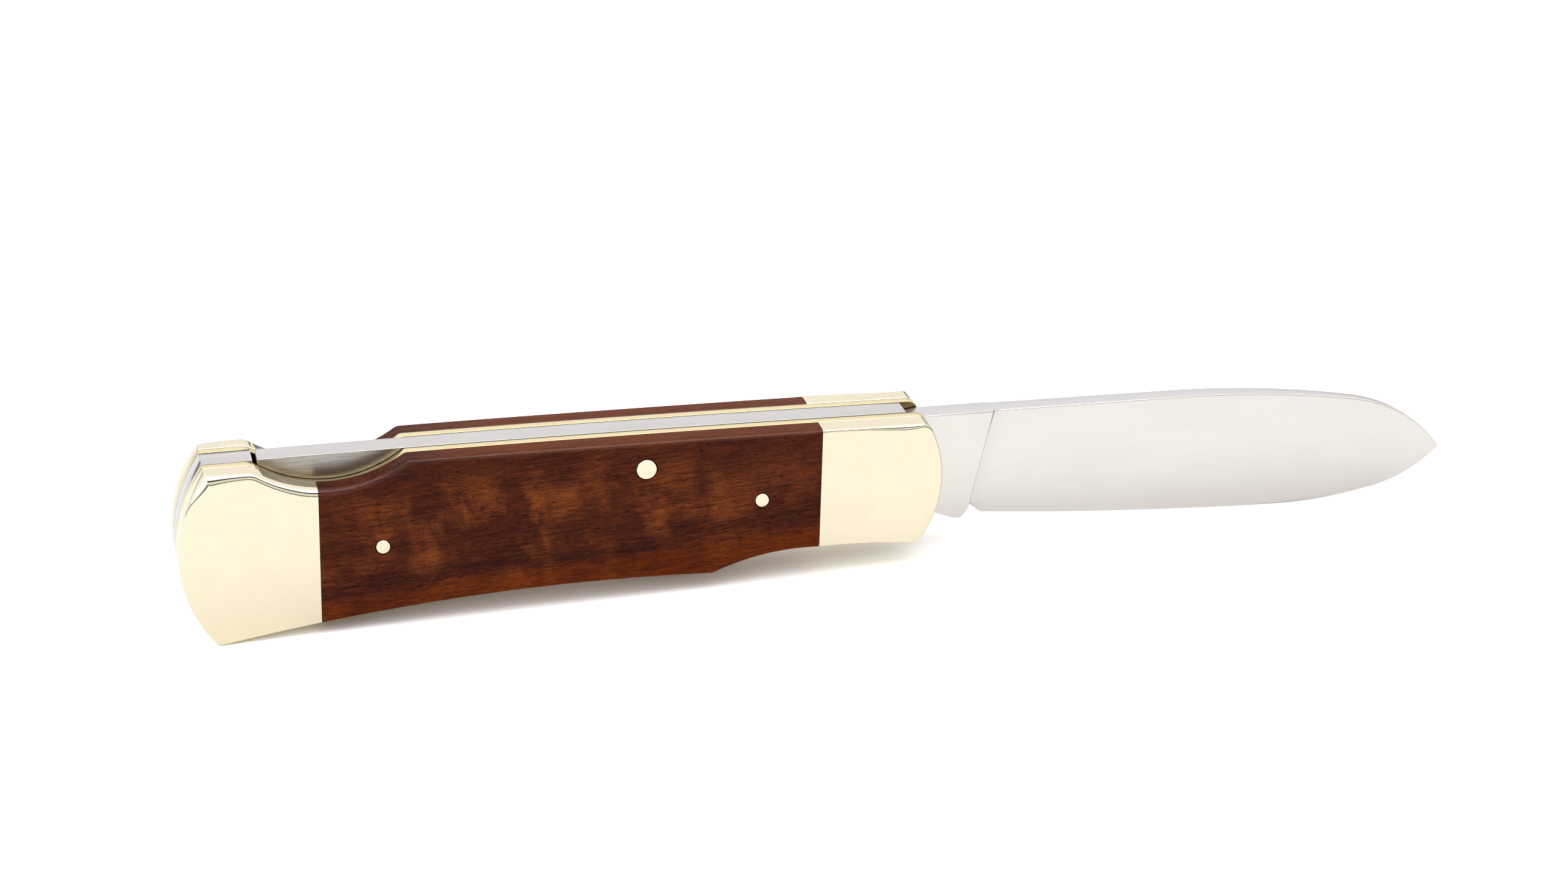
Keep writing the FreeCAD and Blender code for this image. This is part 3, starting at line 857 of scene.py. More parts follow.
@dataclass(frozen=True)
class BladeSteel(BrushedSteel):
    """Satin blade: brushed along the grind and upright on the ricasso, with a painted shade line along the plunge.
    """

    spine: Colour = (0.805, 0.78, 0.785, 1.0)
    plunge_shade: Colour = grey(0.22)
    plunge: float = 112.688
    slope: float = 0.2053
    top: float = -0.83
    depth: float = 19.3

    def ahead(self, spot: Signal) -> Signal:
        """Millimetres ahead of the plunge line."""
        along, _, up = spot.axes()
        return along - (up - self.top) * self.slope - self.plunge

    def grain(self, spot: Signal) -> Signal:
        """Lengthwise lines on the grind, upright ones on the ricasso.

        Args:
            spot: places over the surface.

        Returns:
            The lines.
        """
        upright = spot.noise(Brush.UPRIGHT.value, turn=9.0, shift=6.0, detail=3.0, rough=0.65, bend=0.05)
        ground = self.ahead(spot) > 0.0
        return super().grain(spot) * ground + (upright * 0.6 + 0.2) * (1 - ground)

    def shading(self, spot: Signal) -> Signal:
        """Blotches, with the shade gathering towards the edge and beside the plunge line.

        Args:
            spot: places over the surface.

        Returns:
            How far the colour is shaded.
        """
        below = self.top - spot.axes()[2]
        low = below.ramp(0.35 * self.depth, 1.05 * self.depth)
        edge = below.ramp(0.60 * self.depth, 0.95 * self.depth)
        ahead = self.ahead(spot)
        beside = ahead.ramp(3.0, 0.0) * (ahead > 0.0)
        return super().shading(spot) * 0.3 + low * 1.2 + edge * 0.8 + beside * 0.5

    def tones(self, spot: Signal, tone: Signal) -> Signal:
        """Pale sides, a greyer spine, and a painted shade line where the grind starts.

        Args:
            spot: places over the surface.
            tone: how far the colour is shaded.

        Returns:
            The colour.
        """
        ahead, facing = self.ahead(spot), spot.recipe.facing()
        # Painted shade: a dark line in the corner where the grind starts.
        line = ahead.maths("ABSOLUTE", ahead - 0.1).ramp(0.20, 0.11)
        lit = facing.ramp(0.15, 0.04).mix(tone.mix(self.colour, self.shade), self.spine)
        return (line * facing.ramp(0.2, 0.5) * 0.75).mix(lit, self.plunge_shade)


@dataclass(frozen=True)
class FiguredWood(Finish):
    """Dense dark red-brown wood with paler clouds, fine streaks and short dark pores under a gloss."""

    dark: Colour = (0.043, 0.0105, 0.0082, 1.0)
    red: Colour = (0.116, 0.0255, 0.0115, 1.0)
    cloud: Colour = (0.300, 0.0760, 0.0180, 1.0)
    pale: Colour = (0.180, 0.0300, 0.0022, 1.0)
    pore: Colour = (0.012, 0.0030, 0.0020, 1.0)
    rise: float = 0.09
    low_strip: Point = (21.0, 23.6)
    dark_band: Point = (17.8, 20.6)
    towards_spine: Point = (-8.0, -1.0)
    cloudy_from: Point = (19.0, 33.0)
    cloudy_to: Point = (80.0, 60.0)
    past_notch: Point = (26.0, 42.0)
    relief: float = 0.03

    def feeds(self, recipe: Recipe) -> Feeds:
        """Clouds, streaks and a painted highlight on the rim in the colour; pores in the colour, roughness and
        relief.

        Args:
            recipe: the material's tree.

        Returns:
            What feeds the shader's sockets.
        """
        spot, facing = recipe.place(), recipe.facing()
        along, _, up = spot.axes()
        drift = spot.noise((0.06, 0.1, 0.12), shift=1.0)
        level = along * self.rise - up + (drift - 0.5) * 3.0
        clouds = spot.noise((0.13, 0.10, 0.085), 12.0, 17.0, 5.0, 0.62, 0.25)
        soft = spot.noise((0.10, 0.6, 0.45), 5.0, 5.0, 4.0, 0.6, 0.3)
        streaks = spot.noise((0.16, 1.6, 2.2), 5.0, 0.0, 4.0, 0.66, 0.2)
        dashes = spot.noise((0.75, 5.0, 8.0), 5.0, 3.0, 2.0, 0.6)
        pores = spot.noise((0.9, 6.0, 8.0), 5.0, 11.0, 1.0).ramp(0.63, 0.71)
        low = level.ramp(*self.low_strip)
        band = level.ramp(*self.dark_band) * (1 - low)
        upper = up.ramp(*self.towards_spine)
        middle = along.ramp(*self.cloudy_from) * along.ramp(*self.cloudy_to)
        figure = clouds.ramp(0.42, 0.66) * (1 - upper * 0.9) * (1 - band * 0.7) * (0.45 + middle * 0.8)
        lines = streaks.ramp(0.36, 0.64) * 0.6 + soft.ramp(0.34, 0.60) * 0.4
        tone = (lines - band * 0.25).held().mix(self.dark, self.red)
        tone = (figure * (0.30 + lines * 0.75)).held().mix(tone, self.cloud)
        tone = (low * (0.25 + lines * 0.70)).held().mix(tone, self.pale)
        tone = (dashes.ramp(0.54, 0.70) * (0.22 + figure * 0.45)).held().mix(tone, self.cloud)
        tone = (dashes.ramp(0.48, 0.34) * (0.55 + band * 0.40)).held().mix(tone, self.dark)
        tone = (pores * (0.85 - low * 0.4)).mix(tone, self.pore)
        # Painted highlight: the rounded rim past the thumb notch is lightened towards the cloud colour.
        rim = facing.ramp(0.97, 0.8) * along.ramp(*self.past_notch)
        return {
            "Base Color": (rim * 0.28).mix(tone, self.cloud),
            "Roughness": 0.24 + pores * 0.3 + dashes * 0.08,
            "Specular IOR Level": 0.03,
            "Coat Weight": facing.ramp(0.998, 0.95) * (0.07 + facing.ramp(0.2, 0.5) * 0.43),
            "Coat Roughness": 0.12,
            "Normal": (dashes * 0.25 - pores * 0.7 + streaks * 0.2).bump(self.relief, 0.6),
        }


# The knife's finishes, by the record's material slots.
FINISHES: dict[str, Finish] = {
    "nickel_silver": BolsterMetal((0.98, 0.895, 0.685, 1), (0.95, 0.85, 0.625, 1), 0.08),
    "liner_brass": LinerBrass((0.985, 0.85, 0.52, 1), (0.95, 0.79, 0.44, 1), 0.16),
    "washer_bronze": PolishedMetal((0.68, 0.42, 0.22, 1), (0.55, 0.30, 0.14, 1), 0.28),
    "bar_steel": BrushedSteel((0.79, 0.755, 0.75, 1), (0.69, 0.66, 0.65, 1), (0.51, 0.465, 0.42, 1)),
    "spring_steel": BrushedSteel((0.50, 0.50, 0.52, 1), (0.36, 0.36, 0.37, 1), (0.42, 0.42, 0.43, 1), 0.34),
    "blade_steel": BladeSteel(
        (0.89, 0.855, 0.815, 1), (0.74, 0.70, 0.665, 1), (0.89, 0.855, 0.815, 1), lines=0.3, flecked=0.08,
    ),
    "figured_wood": FiguredWood(),
}
MATERIALS = {slot: finish.dress(slot) for slot, finish in FINISHES.items()}


def wear(mesh: bpy.types.Mesh, slot: str) -> None:
    """Give a mesh the finish of a slot, and no other."""
    mesh.materials.clear()
    mesh.materials.append(MATERIALS[slot])


def seat(piece: bpy.types.Object, body: str, slot: str, *nodes: str) -> None:
    """Dress a finished piece, let it stand for its CAD nodes and ride on its body.

    Args:
        piece: the finished piece.
        body: the body that carries it.
        slot: its material slot in the record.
        nodes: the CAD nodes that it replaces.
    """
    wear(piece.data, slot)
    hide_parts(*nodes)
    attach(piece, body)
    log.info("%s: %d faces, %s on %s", piece.name, len(piece.data.polygons), slot, body)


# The handle

@dataclass
class HandleOutline:
    """The handle seen from its side, with its thumb notch, hollow and swell."""

    rear_joint: float = 15.3
    front_joint: Point = (86.2, -17.95)
    butt_toe: Point = (1.1, -25.7)
    butt_middle: Point = (-3.95, -11.6)
    butt_corner: float = 0.13
    hollow_middle: Point = (38.684, -21.047)
    swell: Point = (70.7, -20.75)
    sweep_middle: Point = (77.21, -18.65)
    sole_middle: Point = (93.475, -18.0475)
    front_head: Point = (101.748, 0.0)
    front_nose: Point = (104.1, -8.6)
    front_toe: Point = (100.75, -18.7)
    front_corner: float = 1.7
    toe_corner: float = 1.8
    rise: float = 0.38
    notch_rear: float = 6.6
    notch_middle: Point = (17.1, -3.2)
    notch_front: float = 27.6
    notch_lead: float = 3.0
    notch_exit: float = 1.5

    def on_spine(self, along: float) -> Point:
        """The place on the gently bowed spine at a distance from the butt."""
        share = along / self.front_head[0]
        return (along, 4 * self.rise * share * (1 - share))

    def spine_run(self, start: float, end: float) -> np.ndarray:
        """The spine between two distances from the butt."""
        return arc_run(*(self.on_spine(along) for along in (start, (start + end) / 2, end)))

    def outline(self, notched: bool = True) -> np.ndarray:
        """Places round the outline, from the butt's upper corner forward along the spine.

        Args:
            notched: whether the thumb notch is cut.

        Returns:
            The outline.
        """
        spine = [self.spine_run(0.0, self.front_head[0])]
        if notched:
            rear, front = self.notch_rear, self.notch_front
            spine = [
                self.spine_run(0.0, rear),
                arc_run(self.on_spine(rear), self.notch_middle, self.on_spine(front)),
                self.spine_run(front, self.front_head[0]),
            ]
        round_the_rest = [
            arc_run(self.front_head, self.front_nose, self.front_toe),
            arc_run(self.front_toe, self.sole_middle, self.front_joint),
            arc_run(self.front_joint, self.sweep_middle, self.swell),
            arc_run(self.swell, self.hollow_middle, self.butt_toe),
            arc_run(self.butt_toe, self.butt_middle, (0.0, 0.0)),
        ]
        last = len(spine) - 1
        radii = {last: self.front_corner, last + 1: self.toe_corner, last + 5: self.butt_corner}
        if notched:
            radii |= {0: self.notch_lead, 1: self.notch_exit}
        return closed_outline(spine + round_the_rest, radii, reach=0.8)


@dataclass
class Layers:
    """Distances of the layers from the knife's middle plane."""

    half_stock: float = 1.75
    half_gap: float = 1.95
    liner_face: float = 3.25
    cover_face: float = 6.304


@dataclass(frozen=True)
class FlushPin:
    """A round pin across the knife whose ends are ground flush and a little domed."""

    place: Point
    radius: float
    edge: float = 0.07
    dip: float = 0.004
    flat: float = 0.75
    crown: float = 0.3
    dome: float = 0.006

    def build(self, name: str, low: float, high: float, node: str) -> None:
        """Turn the pin and seat it in the handle.

        Args:
            name: name of the piece.
            low: where it starts across the knife.
            high: where it ends.
            node: the CAD node that it replaces.
        """
        sign = math.copysign(1, high - low)
        end = [
            (self.crown, self.dome), (self.flat, 0.0), (self.radius - self.edge, -self.dip),
            (self.radius, -self.edge),
        ]
        profile = [(size, low - sign * proud) for size, proud in end]
        profile += [(size, high + sign * proud) for size, proud in reversed(end)]
        angles = -np.linspace(0, math.tau, ROUND_SIDES, endpoint=False)
        rings = [at_depth(on_circle(self.place, size, angles), across) for size, across in profile]
        seat(Workpiece.raised(name, rings).finish(), "handle", "nickel_silver", node)


@dataclass
class Covers:
    """Bolsters and wood covers of one side, sawn from one slab so that the rounding runs over the joints."""

    side: Side
    shape: HandleOutline
    layers: Layers
    bar_pin: FlushPin
    rear_pin: FlushPin = FlushPin((24.0, -12.5), 1.0)
    front_pin: FlushPin = FlushPin((77.7, -9.95), 1.0)
    pin_ring: float = 0.12
    inner_break: float = 0.04
    joint_break: float = 0.06
    joint_gap: float = 0.035
    rim_steps: int = 9
    rim_blur: float = 1.1
    rim_support: float = 0.05
    rim: tuple[tuple[Point, float], ...] = (
        ((0.1, 0.0), 1.90), ((1.6, 0.1), 1.42), ((4.0, 0.1), 1.08), ((6.5, 0.0), 1.00),
        ((10.0, -1.6), 1.15), ((14.0, -2.9), 1.35), ((18.0, -3.2), 1.15), ((25.0, -1.4), 0.90),
        ((30.0, 0.3), 0.75), ((60.0, 0.4), 0.75), ((84.0, 0.2), 0.66), ((88.0, 0.2), 0.38),
        ((92.5, 0.1), 0.52), ((96.0, 0.1), 0.80), ((98.8, 0.0), 1.02), ((100.4, 0.0), 0.78),
        ((101.3, -0.1), 0.50), ((102.1, -0.7), 0.32), ((103.0, -3.4), 0.30), ((104.1, -8.6), 0.30),
        ((100.2, -18.5), 0.20), ((86.2, -17.95), 0.15), ((60.0, -21.0), 0.18), ((1.3, -25.6), 0.18),
        ((-3.2, -17.0), 0.20), ((-3.5, -7.0), 0.24), ((-2.2, -4.2), 0.40), ((-1.3, -2.2), 1.05),
        ((-0.5, -0.9), 1.62),
    )

    @staticmethod
    def walk(outline: np.ndarray) -> tuple[np.ndarray, np.ndarray]:
        """Length of each step round an outline, and how far along it each place lies."""
        steps = np.linalg.norm(np.roll(outline, -1, axis=0) - outline, axis=1)
        return steps, np.concatenate([[0], np.cumsum(steps)[:-1]])

    def rim_radii(self, outline: np.ndarray) -> np.ndarray:
        """Radius of the rim, eased between the places that set it.

        Args:
            outline: places round the outline.

        Returns:
            One radius for each place.
        """
        steps, along = self.walk(outline)
        around = steps.sum()
        marks = sorted(
            (along[np.linalg.norm(outline - np.array(place), axis=1).argmin()], radius)
            for place, radius in self.rim
        )
        marks = [(marks[-1][0] - around, marks[-1][1])] + marks + [(marks[0][0] + around, marks[0][1])]
        places, radii = (np.array(each) for each in zip(*marks))
        index = np.clip(np.searchsorted(places, along, side="right") - 1, 0, len(places) - 2)
        share = (along - places[index]) / (places[index + 1] - places[index])
        return radii[index] + (radii[index + 1] - radii[index]) * eased(share)

    def rim_line(self, outline: np.ndarray, radii: np.ndarray) -> np.ndarray:
        """The inner line of the rim, softened round tight corners.

        Args:
            outline: places round the outline.
            radii: radius of the rim at each of them.

        Returns:
            The inner line's places, in the same order.
        """
        inner = outline + inward(outline) * radii[:, None]
        steps, along = self.walk(outline)
        apart = np.abs(along[:, None] - along[None])
        apart = np.minimum(apart, steps.sum() - apart)
        spans = (steps + np.roll(steps, 1)) / 2
        weights = np.exp(-((apart / self.rim_blur) ** 2)) * spans[None]
        return weights @ inner / weights.sum(axis=1)[:, None]

    def slab(self, name: str) -> Workpiece:
        """The whole cover of this side, before it is sawn up.

        Args:
            name: name of the piece.

        Returns:
            The slab on the bench.
        """
        outline = self.shape.outline()
        radii = self.rim_radii(outline)
        rim = self.rim_line(outline, radii)
        sign, face, inner = self.side.value, self.layers.cover_face, self.layers.liner_face
        rings = [
            at_depth(outline + self.inner_break * mitre(outline), sign * inner),
            at_depth(outline, sign * (inner + self.inner_break)),
        ]
        for turn in np.linspace(0, math.pi / 2, self.rim_steps + 1):
            ring = outline + (rim - outline) * (1 - math.cos(turn))
            rings.append(at_depth(ring, sign * (face - radii * (1 - math.sin(turn)))))
        rings.append(at_depth(rim + inward(rim) * self.rim_support, sign * face))
        return Workpiece.raised(name, rings)

    def saw(self, part: str, rear: float | None, front: float | None) -> Workpiece:
        """Saw one cover out of the slab and break the edges of its cuts.

        Args:
            part: the cover's name without its side.
            rear: where its rear cut lies, if it has one.
            front: where its front cut lies, if it has one.

        Returns:
            The cover on the bench.
        """
        piece = self.slab(f"{self.side.name.lower()}_{part}_cover")
        for cut, keep_front in ((rear, True), (front, False)):
            if cut is not None:
                piece.cut_off(cut, keep_front, self.joint_break)
        return piece

    def build(self) -> None:
        """Make the three covers and the small pins of this side."""
        side, sign, gap = self.side.name.lower(), self.side.value, self.joint_gap
        rear, front = self.shape.rear_joint, self.shape.front_joint[0]
        for end, cuts in (("rear", (None, rear - gap)), ("front", (front + gap, None))):
            seat(self.saw(end, *cuts).finish(), "handle", "nickel_silver", f"{side}_{end}_bolster")
        wood = self.saw("wood", rear + gap, front - gap)
        for pin in (self.rear_pin, self.front_pin, self.bar_pin):
            wood.drill(pin.place, pin.radius + self.pin_ring, 4 * self.layers.cover_face)
        seat(wood.finish(), "handle", "figured_wood", f"{side}_scale")
        low, high = sign * self.layers.half_gap, sign * self.layers.cover_face
        for end, pin in (("rear", self.rear_pin), ("front", self.front_pin)):
            pin.build(f"{side}_{end}_flush_pin", low, high, f"{side}_{end}_scale_pin")


@dataclass
class Core:
    """What stands between the covers: brass liners, back spacer, lock bar, its pin and its spring."""

    shape: HandleOutline
    layers: Layers
    liner_edge: float = 0.07
    liner_sharp: float = 50.0
    notch_sink: float = 0.28
    spacer_length: float = 6.9
    spacer_gap: float = 0.012
    spacer_edge: float = 0.05
    spacer_break: float = 0.12
    bar_tail: float = 7.5
    bar_front: float = 99.7
    bar_edge: float = 0.08
    bar_corner: float = 0.3
    tooth_depth: float = 7.1
    tooth_length: float = 3.2
    tooth_drop: float = 0.7
    tail_depth: float = 4.0
    taper: float = 30.0
    sole_places: int = 4000
    pin: FlushPin = FlushPin(STANCE.bar_pin, 1.45)
    pin_play: float = 0.04
    boss_radius: float = 2.95
    spring_half: float = 1.6
    spring_thickness: float = 1.0
    spring_root: float = -0.59
    spring_bend: float = 8.2
    spring_arm: float = 14.0
    spring_depth: float = 9.0
    spring_gap: float = 0.05
    spring_corner: float = 0.12
    spring_edge: float = 0.08

    def build(self) -> None:
        """Make every piece of the core."""
        for side in Side:
            self.liner(side)
        self.spacer()
        self.bar()
        face = self.layers.cover_face
        self.pin.build("bar_flush_pin", -face, face, "lock_bar_pin")
        self.spring()

    def liner(self, side: Side) -> None:
        """One brass liner, filed a touch lower than the covers in the thumb notch.

        Args:
            side: the side on which it lies.
        """
        low, high = sorted(side.value * y for y in (self.layers.half_gap, self.layers.liner_face))
        name = f"{side.name.lower()}_liner"
        along, depth = self.shape.notch_middle
        sunk = replace(self.shape, notch_middle=(along, depth - self.notch_sink))
        piece = plate(f"{name}_plate", sunk.outline(), low, high, self.liner_edge, 2)
        seat(piece.finish(self.liner_sharp), "handle", "liner_brass", name)

    def spacer(self) -> None:
        """The block that closes the butt."""
        half = self.layers.half_gap - self.spacer_gap
        outline = self.shape.outline(notched=False)
        piece = plate("butt_spacer_block", outline, -half, half, self.spacer_edge, 2)
        piece.cut_off(self.spacer_length, False, self.spacer_break)
        seat(piece.finish(), "handle", "bar_steel", "back_spacer")

    def bar_outline(self) -> np.ndarray:
        """The bar seen from its side, with its tooth, its boss and its thin tail.

        Returns:
            The outline.
        """
        pin_along, pin_up = self.pin.place
        under = self.tooth_depth - self.tooth_drop
        heel = self.bar_front - self.tooth_length
        thin = pin_along - self.taper
        along = np.linspace(heel - self.tooth_drop, thin, self.sole_places)
        sole = -under + (under - self.tail_depth) * np.clip((pin_along - along) / self.taper, 0, 1)
        boss = pin_up - np.sqrt(np.maximum(self.boss_radius ** 2 - (along - pin_along) ** 2, 0))
        rear, front = self.bar_tail, self.bar_front
        tooth = [
            self.shape.on_spine(front), (front, -self.tooth_depth), (heel, -self.tooth_depth),
            (heel - self.tooth_drop, -under),
        ]
        tail = [(thin, -self.tail_depth), (rear, -self.tail_depth), self.shape.on_spine(rear)]
        runs = [
            self.shape.spine_run(rear, front), *line_runs(tooth),
            np.column_stack([along, np.minimum(sole, boss)]), *line_runs(tail),
        ]
        return closed_outline(runs, dict.fromkeys((0, 1, 2, 5, 6), self.bar_corner), turn=6.0, reach=4.0)

    def bar(self) -> None:
        """The rocker bar."""
        half = self.layers.half_stock
        piece = plate("rocker_bar", self.bar_outline(), -half, half, self.bar_edge)
        piece.drill(self.pin.place, self.pin.radius + self.pin_play, 4 * half)
        seat(piece.finish(), "lock_bar", "bar_steel", "lock_bar")

    def spring(self) -> None:
        """The leaf spring under the bar's tail, baked in place."""
        half = self.spring_thickness / 2
        tip = self.spring_bend + self.spring_arm
        top = -self.tail_depth - self.spring_gap
        corners = [
            (self.spring_root, half - self.spring_depth), (self.spring_bend, half - self.spring_depth),
            (tip, top), (tip, top - self.spring_thickness),
            (self.spring_bend, -half - self.spring_depth), (self.spring_root, -half - self.spring_depth),
        ]
        outline = corner_outline(corners, self.spring_corner, reach=0.8)
        leaf = plate("leaf_spring", outline, -self.spring_half, self.spring_half, self.spring_edge, 2)
        piece = leaf.finish()
        wear(piece.data, "spring_steel")
        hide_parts("lock_spring")
        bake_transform(piece)
        log.info("%s: %d faces, bends with the bar", piece.name, len(piece.data.polygons))


# The blade

@dataclass
class Blade:
    """Drop-point blade: full stock at the tang, flat ground past the plunge line to a honed edge."""

    heel: float = 104.1
    length: float = 79.2
    depth: float = 19.3
    drop: float = 0.83
    half_stock: float = 1.75
    half_edge: float = 0.2
    half_ground: float = 1.5
    half_thinnest: float = 0.12
    plunge_turn: float = 11.6
    plunge_run: float = 0.22
    choil: Point = (109.65, -15.63)
    edge_heel: Point = (111.95, -17.53)
    tang: tuple[Point, ...] = (
        (109.36, -16.36), (108.45, -17.46), (107.2, -17.31), (104.1, -16.1), (96.0, -15.3),
    )
    tang_corners: tuple[float, ...] = (1.2, 0.7, 1.5)
    tang_radius: float = 4.0
    shoulder: tuple[Point, ...] = ((96.0, -7.3), (99.95, -7.3), (99.95, -1.23), (102.5, -0.83))
    pivot: Point = STANCE.blade_pivot
    pivot_hole: float = 2.04
    straight: Point = (0.453, 0.006)
    point: tuple[tuple[Point, Point], ...] = (
        ((0.643, 0.043), (0.807, 0.133)), ((0.914, 0.294), (1.0, 0.615)),
    )
    belly: tuple[tuple[Point, Point], ...] = (
        ((0.769, 0.984), (0.857, 0.929)), ((0.942, 0.805), (1.0, 0.615)),
    )
    belly_start: Point = (0.674, 1.0)
    edge_middle: Point = (0.407, 0.960)
    stations: tuple[float, ...] = (0.0, 0.63, 0.85, 1.06)
    thickness: tuple[float, ...] = (1.0, 0.80, 0.63, 0.40)
    reach: tuple[float, ...] = (0.86, 1.02, 0.97, 0.62)
    honed: float = 0.42
    honed_limit: float = 0.45
    spine_edge: float = 0.2
    spine_limit: float = 0.15
    spine_support: float = 1.25
    strip_lead: float = 0.3
    face_inset: float = 0.07
    crowding: float = 0.92
    edge_steps: int = 4
    columns: int = 110
    rows: int = 12
    wall_columns: int = 6
    sharp: float = 30.0

    @property
    def slope(self) -> float:
        """How far the plunge line leans forward for each millimetre up."""
        return math.tan(math.radians(self.plunge_turn))

    @property
    def plunge(self) -> float:
        """Where the plunge line meets the spine."""
        return self.choil[0] + (-self.drop - self.choil[1]) * self.slope

    def spot(self, shares: Point) -> Point:
        """A place from its shares of the blade's length and depth."""
        return (self.heel + shares[0] * self.length, -self.drop - shares[1] * self.depth)

    def chain(self, start: Point, arcs: Sequence[tuple[Point, Point]]) -> list[np.ndarray]:
        """Arcs end to end, from shares of the blade.

        Args:
            start: where the first arc begins.
            arcs: a place that each arc passes, and its end.

        Returns:
            One run for each arc.
        """
        starts = [start, *(end for _, end in arcs)]
        return [arc_run(*map(self.spot, (first, *arc))) for first, arc in zip(starts, arcs)]

    def spine_line(self) -> np.ndarray:
        """The spine from the plunge line to the point."""
        straight = line_run((self.plunge, -self.drop), self.spot(self.straight))
        return np.vstack([straight, *self.chain(self.straight, self.point)])

    def edge_line(self) -> np.ndarray:
        """The edge from the choil to the point.

        Returns:
            The line's places.
        """
        straight = arc_run(self.edge_heel, self.spot(self.edge_middle), self.spot(self.belly_start))
        belly = self.chain(self.belly_start, self.belly)
        return np.vstack([line_run(self.choil, self.edge_heel), straight, *belly])

    @staticmethod
    def spread(run: np.ndarray, shares: np.ndarray) -> np.ndarray:
        """Places at shares of a line's length."""
        along = np.concatenate([[0], np.cumsum(np.linalg.norm(np.diff(run, axis=0), axis=1))])
        return np.column_stack([np.interp(shares * along[-1], along, run[:, axis]) for axis in (0, 1)])

    def half_thickness(self, places: np.ndarray) -> np.ndarray:
        """Half the thickness of the ground blade.

        Args:
            places: places in the blade's side view.

        Returns:
            Half the thickness at each place.
        """
        down = -places[..., 1] - self.drop
        along = (places[..., 0] + down * self.slope - self.plunge) / (self.heel + self.length - self.plunge)
        top = np.polyval(np.polyfit(self.stations, self.thickness, 3), along) * self.half_ground
        deep = np.polyval(np.polyfit(self.stations, self.reach, 3), along) * self.depth
        return np.maximum(top + (self.half_edge - top) * down / deep, self.half_thinnest)

    def surface(self) -> np.ndarray:
        """Places of the right side's grid.

        Returns:
            Columns from the plunge line to the point, each with rows from the spine down to the edge.
        """
        wall = self.plunge_run / self.length * np.linspace(0, 1, self.wall_columns + 1)
        easing = np.linspace(0, 1, self.columns) ** self.crowding
        shares = np.concatenate([wall, wall[-1] + (1 - wall[-1]) * easing[1:]])
        spine = self.spread(self.spine_line(), shares)
        edge = self.spread(self.edge_line(), shares)
        height = np.maximum(np.linalg.norm(edge - spine, axis=1), 1e-6)[:, None]
        soft = np.minimum(self.spine_edge, self.spine_limit * height)
        turns = np.linspace(0, math.pi / 2, self.edge_steps + 1)
        first = soft / height * (1 - np.cos(turns))
        honed = 1 - np.minimum(self.honed / height, self.honed_limit)
        start = first[:, -1:] * self.spine_support
        ground = start + (honed - start) * np.linspace(0, 1, self.rows)
        rows = np.hstack([first, ground, np.ones_like(height)])
        flat = spine[:, None] + (edge - spine)[:, None] * rows[..., None]
        ease = eased(np.clip(shares / wall[-1], 0, 1))[:, None]
        half = self.half_stock * (1 - ease) + self.half_thickness(flat) * ease
        half[:, :len(turns)] -= soft * (1 - np.sin(turns))
        half[1:, -1] = 0.0
        return np.dstack([flat[..., 0], -half, flat[..., 1]])

    def tang_line(self) -> np.ndarray:
        """The tang's outline from the choil round the pivot to the end of the shoulder.

        Returns:
            The line's places, without the choil.
        """
        back = (self.pivot[0] - self.tang_radius, self.pivot[1])
        runs = line_runs([self.choil, *self.tang])
        runs += [arc_run(self.tang[-1], back, self.shoulder[0]), *line_runs(self.shoulder)]
        whole = joined(runs, dict(enumerate(self.tang_corners)))
        return np.vstack([thin_out(whole, turn=4.0, reach=2.0)[1:], whole[-1:]])

    def build(self) -> None:
        """Shape the right side, close it to the middle plane, and mirror it."""
        places = self.surface()
        across, down = places.shape[0] - 1, places.shape[1] - 1
        bpy.ops.object.select_all(action="DESELECT")
        bpy.ops.mesh.primitive_grid_add(x_subdivisions=across, y_subdivisions=down, size=2)
        piece = Workpiece("satin_blade")
        grid = {}
        for vertex in piece.obj.data.vertices:
            key = (round((vertex.co.x + 1) / 2 * across), round((vertex.co.y + 1) / 2 * down))
            grid[key] = vertex.index
            vertex.co = Vector(places[key])
        with piece.editing() as mesh:
            mesh.verts.ensure_lookup_table()
            front = [mesh.verts[grid[0, row]] for row in range(down + 1)]
            back = [mesh.verts.new((x, -self.half_stock, z)) for x, z in self.tang_line()]
            rear = self.shoulder[-1][0] + self.strip_lead * self.spine_edge
            strip = [mesh.verts.new((rear, place.co.y, place.co.z)) for place in front[:self.edge_steps + 2]]
            for row, (high, low) in enumerate(zip(strip, strip[1:])):
                mesh.faces.new((front[row], front[row + 1], low, high))
                mesh.faces.new((high, low, back[-1]))
            mesh.faces.new(front[self.edge_steps + 1:] + back + strip[-1:])
        with piece.editing() as mesh:
            border = [e for e in mesh.edges if e.is_boundary and max(abs(v.co.y) for v in e.verts) > TOUCH]
            piece.select(mesh, border)
            bpy.ops.mesh.extrude_region_move()
            mesh = bmesh.from_edit_mesh(piece.obj.data)
            for vertex in mesh.verts:
                if vertex.select:
                    vertex.co.y = 0.0
            bpy.ops.mesh.select_all(action="SELECT")
            bpy.ops.mesh.remove_doubles(threshold=2 * TOUCH)
            piece.turn_outwards()
            mesh = bmesh.from_edit_mesh(piece.obj.data)
            piece.select(mesh, [max(mesh.faces, key=lambda face: face.calc_area())])
            bpy.ops.mesh.inset(thickness=self.face_inset)
        piece.modify(
            "MIRROR", use_axis=(False, True, False), use_mirror_merge=True, merge_threshold=10 * TOUCH,
        )
        piece.drill(self.pivot, self.pivot_hole, 6 * self.half_stock)
        seat(piece.finish(self.sharp), "blade", "blade_steel", "blade")


